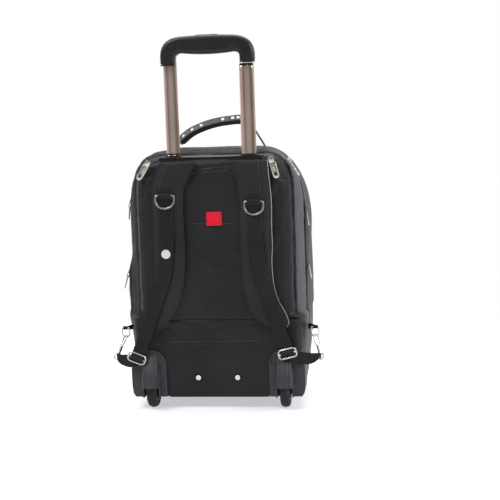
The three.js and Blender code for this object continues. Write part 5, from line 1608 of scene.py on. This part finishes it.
# Painted reflections: across each tube's width the base colour runs from a pale pink highlight at the left
# edge, through dark brown bands of painted shade, to a darker right edge.
across = add("ShaderNodeSeparateXYZ")
link(coordinates.outputs["Object"], across.inputs["Vector"])
from_axis = add("ShaderNodeMath")
from_axis.operation = "ABSOLUTE"
link(across.outputs["X"], from_axis.inputs[0])
inward = add("ShaderNodeMath")
inward.operation = "SUBTRACT"
inward.inputs[1].default_value = pole_apart / 2 * mm
link(from_axis.outputs["Value"], inward.inputs[0])
side_of_axis = add("ShaderNodeMath")
side_of_axis.operation = "SIGN"
link(across.outputs["X"], side_of_axis.inputs[0])
over_tube = add("ShaderNodeMath")
over_tube.operation = "MULTIPLY"
link(inward.outputs["Value"], over_tube.inputs[0])
link(side_of_axis.outputs["Value"], over_tube.inputs[1])
over_range = add("ShaderNodeMapRange")
over_range.inputs["From Min"].default_value = -13 * mm
over_range.inputs["From Max"].default_value = 13 * mm
link(over_tube.outputs["Value"], over_range.inputs["Value"])
painted_reflection_ramp = add("ShaderNodeValToRGB")
painted_reflection_tones = (
    (0.0, (0.78, 0.56, 0.52)), (0.2, (0.74, 0.52, 0.48)), (0.3, (0.30, 0.20, 0.16)),
    (0.4, (0.50, 0.40, 0.33)), (0.62, (0.56, 0.47, 0.38)), (0.78, (0.34, 0.26, 0.20)),
    (0.88, (0.20, 0.14, 0.11)), (1.0, (0.46, 0.33, 0.29)),
)
while len(painted_reflection_ramp.color_ramp.elements) < len(painted_reflection_tones):
    painted_reflection_ramp.color_ramp.elements.new(0.5)
for stop, (at, tint) in zip(painted_reflection_ramp.color_ramp.elements, painted_reflection_tones):
    stop.position = at
    stop.color = (*tint, 1)
link(over_range.outputs["Result"], painted_reflection_ramp.inputs["Fac"])
tint_and_painted_reflections = add("ShaderNodeMix")
tint_and_painted_reflections.data_type = "RGBA"
tint_and_painted_reflections.blend_type = "MULTIPLY"
tint_and_painted_reflections.inputs["Factor"].default_value = 1
link(drawn_tone.outputs["Result"], tint_and_painted_reflections.inputs["A"])
link(painted_reflection_ramp.outputs["Color"], tint_and_painted_reflections.inputs["B"])
link(tint_and_painted_reflections.outputs["Result"], socket(anodised_painted_reflections, "Base Color"))
drawn_rough = add("ShaderNodeMapRange")
drawn_rough.inputs["To Min"].default_value = 0.24
drawn_rough.inputs["To Max"].default_value = 0.4
link(smear.outputs["Fac"], drawn_rough.inputs["Value"])
link(drawn_rough.outputs["Result"], socket(anodised_painted_reflections, "Roughness"))
drawn_relief = add("ShaderNodeBump")
drawn_relief.inputs["Strength"].default_value = 0.12
drawn_relief.inputs["Distance"].default_value = 0.03 * mm
link(drawn.outputs["Fac"], drawn_relief.inputs["Height"])
link(drawn_relief.outputs["Normal"], socket(anodised_painted_reflections, "Normal"))
socket(anodised_painted_reflections, "Metallic").default_value = 0.75
handle_plastic = moulded_finish(
    "handle_plastic", (0.010, 0.0095, 0.0105), rough=0.4, grain=0.3, shine=0.3, wear=0.15,
)


def rounded(width, depth, radius, steps=7):
    """A rounded rectangle about the origin, as points in millimetres."""
    points = []
    for cx, cy, start in ((1, 1, 0), (-1, 1, 1), (-1, -1, 2), (1, -1, 3)):
        for step in range(steps + 1):
            angle = (start + step / steps) * math.pi / 2
            points.append((
                cx * (width / 2 - radius) + radius * math.cos(angle),
                cy * (depth / 2 - radius) + radius * math.sin(angle),
            ))
    return points


def tube_ring(x, z, grow, flute=0.0):
    width, depth = tube_wide + grow, tube_deep + grow
    outline = rounded(width, depth, depth * 0.42)
    back_shares = (-0.86, -0.7, -0.55, -0.3, 0, 0.3, 0.55, 0.7, 0.86)
    back = [(width / 2 - depth * 0.42) * share for share in back_shares]
    dip = [0, 0.3, 0.8, 1, 1, 1, 0.8, 0.3, 0]
    half = len(outline) // 4 * 3
    outline = outline[:half] + [(u, -depth / 2 + flute * d) for u, d in zip(back, dip)] + outline[half:]
    return [(x + u, pole_y + v, z) for u, v in outline]


for node in sorted(o.name for o in bpy.data.objects if "_tube_" in o.name):
    stage = ("inner", "mid", "outer").index(node.split("_")[0])
    side = -1 if node.endswith("left") else 1
    body = "bag" if stage == 2 else "pull_handle" if stage == 0 else "mid_" + node.split("_")[-1]
    low, high = (corner[2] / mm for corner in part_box(node))
    grow = stage * stage_grow
    heights = [low, low + 0.3, *np.linspace(low + 6, high - 6, 9), high - 0.3, high]
    ends = (heights[0], heights[-1])
    rows = [tube_ring(side * pole_apart / 2, z, grow - (0.5 if z in ends else 0), 0.55) for z in heights]
    tube = cloth_grid(f"{node}_drawn", rows)
    face_out_from_middle(tube)
    thicken(tube, tube_wall)
    hand_over(tube, anodised_painted_reflections, body=body, nodes=[node], angle=40)

for name, side in (("left", -1), ("right", 1)):
    node = f"tube_collar_{name}"
    low, high = (corner[2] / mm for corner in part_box(node))
    body = f"mid_{name}"
    rings = []
    steps = (
        (0, low), (0.35, low + 0.5), (0.35, high - 0.9), (0.1, high - 0.3), (-0.5, high), (-1.6, high),
    )
    for grow, z in steps:
        rings.append(tube_ring(side * pole_apart / 2, z, stage_grow + grow))
    rings.append(tube_ring(side * pole_apart / 2, high - 0.8, 2 * seam_gap))
    rings.append(tube_ring(side * pole_apart / 2, low, 2 * seam_gap))
    rings.append(rings[0])
    collar = cloth_grid(f"{node}_moulding", rings)
    weld(collar)
    hand_over(collar, handle_plastic, body=body, nodes=[node], angle=35)

# Top bezel
# The moulded plate the poles leave the bag through, a low lip round each, and a paler strip
# along its rear edge between them: a painted highlight, pale grey where the plate's edge catches the light.
bezel_top, bezel_thick, bezel_wide, bezel_deep, bezel_lip = 478, 8, 196, 20.4, 3
bezel_y = pole_y
bezel_outline = [(u, bezel_y + v) for u, v in rounded(bezel_wide, bezel_deep, 3.5)]
lip_outline = rounded(tube_wide + stage_grow + 4.8, tube_deep + stage_grow + 4.8, 7.6)
hole_outline = rounded(tube_wide + stage_grow + 2 * seam_gap, tube_deep + stage_grow + 2 * seam_gap, 6.4)
plate = slab("top_bezel_moulding", bezel_outline, bezel_top - bezel_thick, bezel_top, "z", 1.2, 3)
bezel_parts = [plate]
for side in (-1, 1):
    lip = slab(
        "bezel_lip", [(side * pole_apart / 2 + u, bezel_y + v) for u, v in lip_outline],
        bezel_top - 2, bezel_top + bezel_lip, "z", 0.9, 3,
    )
    for part in (plate, lip):
        cut_out(part, slab(
            "bezel_hole", [(side * pole_apart / 2 + u, bezel_y + v) for u, v in hole_outline],
            bezel_top - 20, bezel_top + 20, "z", 0,
        ))
    bezel_parts.append(lip)
bezel = join_pieces("top_bezel_moulding", bezel_parts)
hand_over(bezel, handle_plastic, nodes=["top_bezel"])
# A painted highlight: a thin pale grey strip on the plate's rear edge between the poles.
strip_painted_highlight = moulded_finish("bezel_strip_finish", (0.2, 0.2, 0.21), rough=0.35, wear=0.1)
strip_half, strip_y = 55, bezel_y - bezel_deep / 2
strip_low, strip_high = bezel_top - 1.4, bezel_top + 0.8
strip_outline = [
    (-strip_half, strip_low), (strip_half, strip_low), (strip_half, strip_high), (-strip_half, strip_high),
]
strip = slab("bezel_strip", strip_outline, strip_y - 0.3, strip_y + 2.2, "y", 0.5)
hand_over(strip, strip_painted_highlight)

# Grip
# One moulded bar with a belly under its middle and two arms that take the inner tubes. The
# button lies in an oval recess in its top. A ring closes the foot of each arm, the right one bright.
grip_wide, grip_top, grip_arm, grip_deep, grip_belly, grip_ends = 174, 699, 27, 30, 34.5, 31.5
grip_corner, grip_round, grip_low = 36, 9, 645
button_long, button_wide, button_proud, button_high = 42, 13, 1, 6


def quadratic(a, b, c, steps=14):
    return [
        (
            (1 - t) ** 2 * a[0] + 2 * t * (1 - t) * b[0] + t * t * c[0],
            (1 - t) ** 2 * a[1] + 2 * t * (1 - t) * b[1] + t * t * c[1],
        )
        for t in np.linspace(0, 1, steps + 1)
    ]


half = grip_wide / 2
shoulder = half - grip_corner
arm_inner = half - grip_arm
crook_x = arm_inner - 12
crook_top = grip_top - grip_ends
belly_low = crook_top - 2 * (grip_belly - grip_ends)
right_half = quadratic(
    (shoulder, grip_top - 1.5), (half - 1, grip_top - 5), (half, grip_top - grip_corner - 1),
)
right_half += [(half, grip_top - 44), (half, grip_low)]
right_half += [(arm_inner, grip_low), (arm_inner, grip_low + 8)]
right_half += quadratic((arm_inner, grip_low + 12), (arm_inner, crook_top), (crook_x, crook_top))
top_line = quadratic((-shoulder, grip_top - 1.5), (0, grip_top + 1.5), (shoulder, grip_top - 1.5), 16)
belly_line = quadratic((crook_x, crook_top), (0, belly_low), (-crook_x, crook_top), 16)
left_half = [(-x, z) for x, z in reversed(right_half)]
grip_outline = top_line[:-1] + right_half[:-1] + belly_line + left_half[1:-1]
grip = slab("grip_moulding", grip_outline, bezel_y - grip_deep / 2, bezel_y + grip_deep / 2, "y", 0)
apply_modifier(
    grip, "BEVEL", width=grip_round * mm, segments=7, limit_method="ANGLE", angle_limit=math.radians(60),
)
recess = slab(
    "button_recess", [(u, bezel_y + v) for u, v in rounded(button_long + 2.4, button_wide + 2.4, 7.6)],
    grip_top - 8.5, grip_top + 6, "z", 0,
)
cut_out(grip, recess)
hand_over(grip, handle_plastic, body="pull_handle", nodes=["grip"], angle=32)
ring_metal = metal_finish("ring_metal", (0.8, 0.78, 0.76), rough=0.18)
for name, side in (("left", -1), ("right", 1)):
    arm_x = side * (half - grip_arm / 2)
    band_points = rounded(grip_arm - 1.2, grip_deep - 1.2, 5.2, 9)
    band_path = [place(arm_x + u, bezel_y + v, grip_low + 1.3) for u, v in band_points]
    band_finish = ring_metal if side > 0 else handle_plastic
    bent_wire(f"grip_ring_{name}", band_path, 0.9, band_finish, body="pull_handle")
    parting_path = [place(arm_x + u * 1.012, bezel_y + v * 1.012, grip_low + 4.5) for u, v in band_points]
    bent_wire(f"grip_parting_{name}", parting_path, 0.35, handle_plastic, body="pull_handle")
button_outline = [(u, bezel_y + v) for u, v in rounded(button_long, button_wide, 6.4, 12)]
button_top = grip_top + button_proud
button = slab("release_button_cap", button_outline, button_top - button_high, button_top, "z", 1.2, 4)
button_ribs = [button]
for step in range(-3, 4):
    rib_at = place(step * 4, bezel_y, button_top - 0.15)
    button_ribs.append(rod(0.55, 9, rib_at, (math.pi / 2, 0, 0), 16))
button = join_pieces("release_button_cap", button_ribs)
hand_over(button, handle_plastic, body="button", nodes=["release_button"])

# Carry handle
# Webbing sewn down at both ends of the bag's top, through a moulded rubber grip with vents.
# Each row: how far along the span from its middle, and the rise, both as shares.
carry_rows = (
    (-1, -0.026), (-0.9, 0.09), (-0.78, 0.2), (-0.54, 0.53), (-0.26, 0.745), (0.03, 0.88), (0.35, 0.95),
    (0.5, 0.96), (0.63, 0.92), (0.76, 0.7), (0.88, 0.36), (0.965, 0.1), (1, -0.026),
)
carry_y, carry_span, carry_rise = 105, 183, 51
carry_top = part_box("carry_strap")[0][2] / mm
grip_section = (
    (-0.5, -0.42), (-0.47, -0.5), (-0.3, -0.5), (0, -0.5), (0.3, -0.5), (0.47, -0.5), (0.5, -0.42),
    (0.5, -0.24), (0.45, -0.02), (0.34, 0.3), (0.26, 0.44), (0.12, 0.5), (-0.12, 0.5), (-0.26, 0.44),
    (-0.34, 0.3), (-0.45, -0.02), (-0.5, -0.24),
)
carry_grip_deep, carry_grip_high, carry_seat = 23.6, 17.6, 0.2
rubber = moulded_finish("grip_rubber", (0.115, 0.115, 0.12), rough=0.6, grain=0.4, wear=0.4)
underside = moulded_finish("grip_underside", (0.008, 0.008, 0.009), rough=0.5, wear=0.2)
carry_path = eased_path(
    [Vector((along * carry_span / 2, 0, bag_top + rise * carry_rise)) for along, rise in carry_rows], 6,
)
web_rings = []
for i, point in enumerate(carry_path):
    before, after = carry_path[max(0, i - 1)], carry_path[min(len(carry_path) - 1, i + 1)]
    along = (after - before).normalized()
    up = Vector((-along.z, 0, along.x))
    web_rings.append((point, up))
rows = []
for point, up in web_rings:
    across = np.linspace(-9.8, 9.8, 9)
    rows.append([(point.x + up.x * 0.3, carry_y + u, point.z + up.z * 0.3) for u in across])
carry_web = cloth_grid("carry_strap_web", rows, closed=False)
thicken(carry_web, 1.5)
hand_over(carry_web, ribbed_webbing, nodes=["carry_strap"], angle=50)
grip_from, grip_to = 12, 48
rows = []
stations = web_rings[grip_from:grip_to + 1]
for i, (point, up) in enumerate(stations):
    ends = min(i, len(stations) - 1 - i)
    shrink = (0.86, 0.95, 0.99, 1.0)[min(ends, 3)]
    rows.append([
        (
            point.x + up.x * ((v * shrink + carry_seat) * carry_grip_high),
            carry_y + u * shrink * carry_grip_deep,
            point.z + up.z * ((v * shrink + carry_seat) * carry_grip_high),
        )
        for u, v in grip_section
    ])
carry_grip = cloth_grid("carry_grip_moulding", rows)
pick(carry_grip)
bpy.ops.object.mode_set(mode="EDIT")
bpy.ops.mesh.select_all(action="DESELECT")
bpy.ops.mesh.select_non_manifold()
bpy.ops.mesh.edge_face_add()
bpy.ops.mesh.select_all(action="SELECT")
bpy.ops.mesh.normals_make_consistent(inside=False)
bpy.ops.object.mode_set(mode="OBJECT")
vent_shares = (0.08, 0.19, 0.31, 0.56, 0.68, 0.79)
for share in vent_shares:
    index = round(share * (len(stations) - 1))
    point, up = stations[index]
    along = Vector((up.z, 0, -up.x))
    lift = up * carry_grip_high * 0.42
    corners = []
    for u, v in rounded(8.4, 4.4, 1.0, 3):
        spot = point + lift + along * u + up * v
        corners.append((spot.x, spot.z))
    cut_out(carry_grip, slab("vent_tool", corners, carry_y - 30, carry_y + 30, "y", 0))
hand_over(carry_grip, rubber, nodes=["carry_grip"], angle=40)
rows = []
for point, up in stations[1:-1]:
    rows.append([
        (point.x + up.x * v, carry_y + u * 11.4, point.z + up.z * v)
        for u, v in ((-1, -5.2), (-1.02, -2.2), (-1.03, 1.4), (-1.04, 1.8), (-0.9, 1.9))
    ])
    rows[-1] += [(x, 2 * carry_y - y, z) for x, y, z in reversed(rows[-1])]
band = cloth_grid("carry_grip_underside", rows)
thicken(band, 0.5)
hand_over(band, underside, angle=40)
# Painted highlight: a thin bead along the grip's upper edge, front and rear, painted lighter than the
# rubber.
rim_painted_highlight = moulded_finish("grip_rim", (0.16, 0.16, 0.165), rough=0.5, wear=0.3)
for side, name in ((-1, "rear"), (1, "front")):
    path = []
    for point, up in stations[2:-2]:
        spot = point + up * ((0.5 + carry_seat) * carry_grip_high - 0.9)
        path.append(place(spot.x, carry_y + side * 0.27 * carry_grip_deep, spot.z))
    bent_wire(f"carry_grip_rim_{name}", path, 0.6, rim_painted_highlight, closed=False)

# Zip pulls, side pulls, badge and tab
# Cast tabs with a hole near the end, hung from bright sliders; slim tabs on cord loops at the
# sides; a plain disc on the left strap; a plain red tab sewn over the panel's seam.
pull_metal = metal_finish("pull_metal", (0.78, 0.74, 0.66), rough=0.24)


def axes(pivot, across, down):
    """The matrix that hangs a tab from a pivot: its X across, its minus Z down."""
    across, down = Vector(across).normalized(), Vector(down).normalized()
    outward = down.cross(across)
    turn = Matrix((across, outward, -down)).transposed().to_4x4()
    return Matrix.Translation(place(*pivot)) @ turn


def hung_tab(name, outline, thick, matrix, hole=None, round_edge=0.5):
    """A flat tab made about its pivot from (across, up) points, then hung there."""
    tab = slab(name, outline, -thick / 2, thick / 2, "y", round_edge, 3)
    if hole:
        cut_out(tab, slab("tab_hole", hole, -thick * 2, thick * 2, "y", 0))
    tab.data.transform(matrix @ Matrix.Translation((0, -crown, 0)))
    return tab


def pull_outline(length, width, neck):
    half = width / 2
    points = [(-neck / 2, 1.2), (-neck / 2, -neck * 0.75), (-half, -neck * 1.35)]
    for step in range(17):
        angle = math.pi + step / 16 * math.pi
        points.append((half * math.cos(angle), -length + half + half * math.sin(angle)))
    return points + [(half, -neck * 1.35), (neck / 2, -neck * 0.75), (neck / 2, 1.2)]


def oval(x, z, wide, tall, steps=28):
    angles = np.linspace(0, 2 * math.pi, steps + 1)[:-1]
    return [(x + wide * math.cos(angle), z + tall * math.sin(angle)) for angle in angles]


pull_long, pull_wide, pull_neck, pull_thick = 37, 12, 5.4, 2
zip_pulls = (
    ("left", (-115.935, -1.8, 469.42), (0.829, 0, -0.559), (-0.559, 0, -0.829)),
    ("right", (113.457, -1.8, 470.89), (0.961, 0, 0.2756), (0.2756, 0, -0.961)),
    ("main", (142.458, 33.5, 467.895), (0, 1, 0), (0.534, 0, -0.846)),
)
for name, pivot, across, down in zip_pulls:
    matrix = axes(pivot, across, down)
    hole = oval(0, -pull_long + pull_wide * 0.7, pull_wide * 0.2, pull_wide * 0.3)
    outline = pull_outline(pull_long, pull_wide, pull_neck)
    tab = hung_tab(f"zip_pull_{name}_tab", outline, pull_thick, matrix, hole)
    ridge_half = pull_thick / 2 + 0.25
    ridge = slab("pull_ridge", oval(0, -17, 1.1, 7), -ridge_half, ridge_half, "y", 0.3, 2)
    ridge.data.transform(matrix @ Matrix.Translation((0, -crown, 0)))
    tab = join_pieces(f"zip_pull_{name}_tab", [tab, ridge])
    hand_over(tab, pull_metal, body=f"pull_{name}", nodes=[f"zip_pull_{name}"])
    slider_parts = []
    for low, high, wide, tall in ((1.8, 3.0, 10, 11), (-1.2, 2.0, 9.2, 4)):
        outline = [(u, v - 1) for u, v in rounded(wide, tall, 1.8, 4)]
        block_piece = slab("slider_part", outline, low, high, "y", 0.5)
        if wide < 10:
            slot_outline = [(-3.1, -6), (3.1, -6), (3.1, 6), (-3.1, 6)]
            cut_out(block_piece, slab("slider_slot", slot_outline, -3, 1.9, "y", 0))
        block_piece.data.transform(matrix @ Matrix.Translation((0, -crown, 0)))
        slider_parts.append(block_piece)
    slider = join_pieces(f"zip_slider_{name}", slider_parts)
    hand_over(slider, pull_metal)

side_pull_long, side_pull_wide = 28, 7
# Each side pull: its side, its depth and height as shares of the bag's, and its lean in degrees.
side_pull_table = {
    "upper_left": (-1, 0.356, 0.784, 7),
    "upper_right": (1, 0.356, 0.747, 7),
    "lower_left": (-1, 0.376, 0.504, 17),
    "lower_right": (1, 0.376, 0.537, 10),
}
cord_finish = woven_finish("cord_braid", (0.16, 0.16, 0.17), thread=0.5, rough=0.7)
# A cord's loop through the tab's hole, as across, up and out from the pull's pivot.
cord_knots = (
    (0, -3.6, -1.6), (0, -1, -2.1), (1.2, 3, -1.6), (1.4, 9, -0.4), (0, 12, 0.4), (-1.4, 9, -0.2),
    (-1.2, 3, 1.6), (0, -1, 2.1), (0, -3.6, 1.6),
)
for name, (side, deep, height, lean) in side_pull_table.items():
    y, z = deep * bag_depth, height * bag_top
    lean = math.radians(lean)
    slack = left_slack(y, z) if side < 0 else 0
    x = side * (side_of_bag(y + side_pull_wide / 2, z) + slack + seam_gap + 0.8)
    down = (side * math.sin(lean), 0, -math.cos(lean))
    matrix = axes((x, y, z), (0, 1, 0), down)
    outline = [(u, v - side_pull_long / 2) for u, v in rounded(side_pull_wide, side_pull_long, 3.1, 8)]
    tab = hung_tab(
        f"side_pull_{name}_tab", outline, 1.6, matrix, oval(0, -3.6, 1.3, 1.7), 0.5,
    )
    hand_over(tab, pull_metal, nodes=[f"side_pull_{name}"])
    loop = []
    for u, v, w in cord_knots:
        loop.append(matrix @ Vector((u * mm, w * mm, v * mm)))
    bent_wire(f"side_cord_{name}", eased_path(loop, 5, True), 0.7, cord_finish)

badge_x, badge_z, badge_radius = -(0.475 * 177 + 2.5), 299.9, 8.5
badge_y = web_y - web_thick / 2 - seam_gap
badge_finish = moulded_finish("badge_disc", (0.62, 0.62, 0.63), rough=0.3, wear=0.05)
badge_outline = [(badge_x + u, badge_z + v) for u, v in oval(0, 0, badge_radius, badge_radius, 48)]
disc = slab("strap_badge_disc", badge_outline, badge_y - 1.2, badge_y, "y", 0.4)
rim = bead(badge_radius - 0.6, 0.6, place(badge_x, badge_y - 1.1, badge_z), 56, 12)
badge = join_pieces("strap_badge_disc", [disc, rim])
hand_over(badge, badge_finish, nodes=["strap_badge"])

red_cloth = woven_finish("red_cloth", (0.76, 0.006, 0.022), thread=0.45, rough=0.6)
tab_x, tab_z, tab_half, tab_tall = 4, 0.74 * bag_top, 14.5, 13
rows = []
for v in np.linspace(-1, 1, 33):
    row = []
    for u in np.linspace(-1, 1, 37):
        puff = 0.5 * (1 - u ** 4) * (1 - v ** 4) + 0.12 * soft_noise(u * 20, 0, v * 20, 9, 61)
        row.append((tab_x + u * tab_half, -0.9 - puff, tab_z + v * tab_tall))
    rows.append(row)
red_tab = cloth_grid("fabric_tab_cloth", rows, closed=False)
finish_flat(red_tab, red_cloth, ["fabric_tab"], wall=0.8)
inset = 1.6
border = [(-1, -1), (1, -1), (1, 1), (-1, 1), (-1, -1)]
path = [place(tab_x + u * (tab_half - inset), -1.75, tab_z + v * (tab_tall - inset)) for u, v in border]
red_thread = woven_finish("red_thread", (0.5, 0.02, 0.035), thread=0.2, rough=0.5)
stitch_row("fabric_tab_stitches", path, lambda point: Vector((0, -1, 0)), 3.0, 2.1, 0.3)

# Thread on the back
# Rows of stitches beside the pocket seam and across the lower panel.
for row_name, low_x, high_x, height_at in (
    ("seam_left", -43, -12, lambda x: 353.4 - x * 0.02),
    ("seam_right", 20, 43, lambda x: 353.4 - x * 0.02),
    ("lower_one", -88, 84, lambda x: 129.6 + x * 0.01),
):
    path = []
    for x in np.linspace(low_x, high_x, 40):
        z = height_at(x)
        depth = panel_relief(x, z) if z > panel_seam else lower_relief(x, z, 150)
        path.append(place(x, depth, z))
    stitch_row(
        f"back_stitches_{row_name}", path, lambda point: Vector((0, -1, 0)),
        pitch=3.4, length=2.6, thick=0.4,
    )
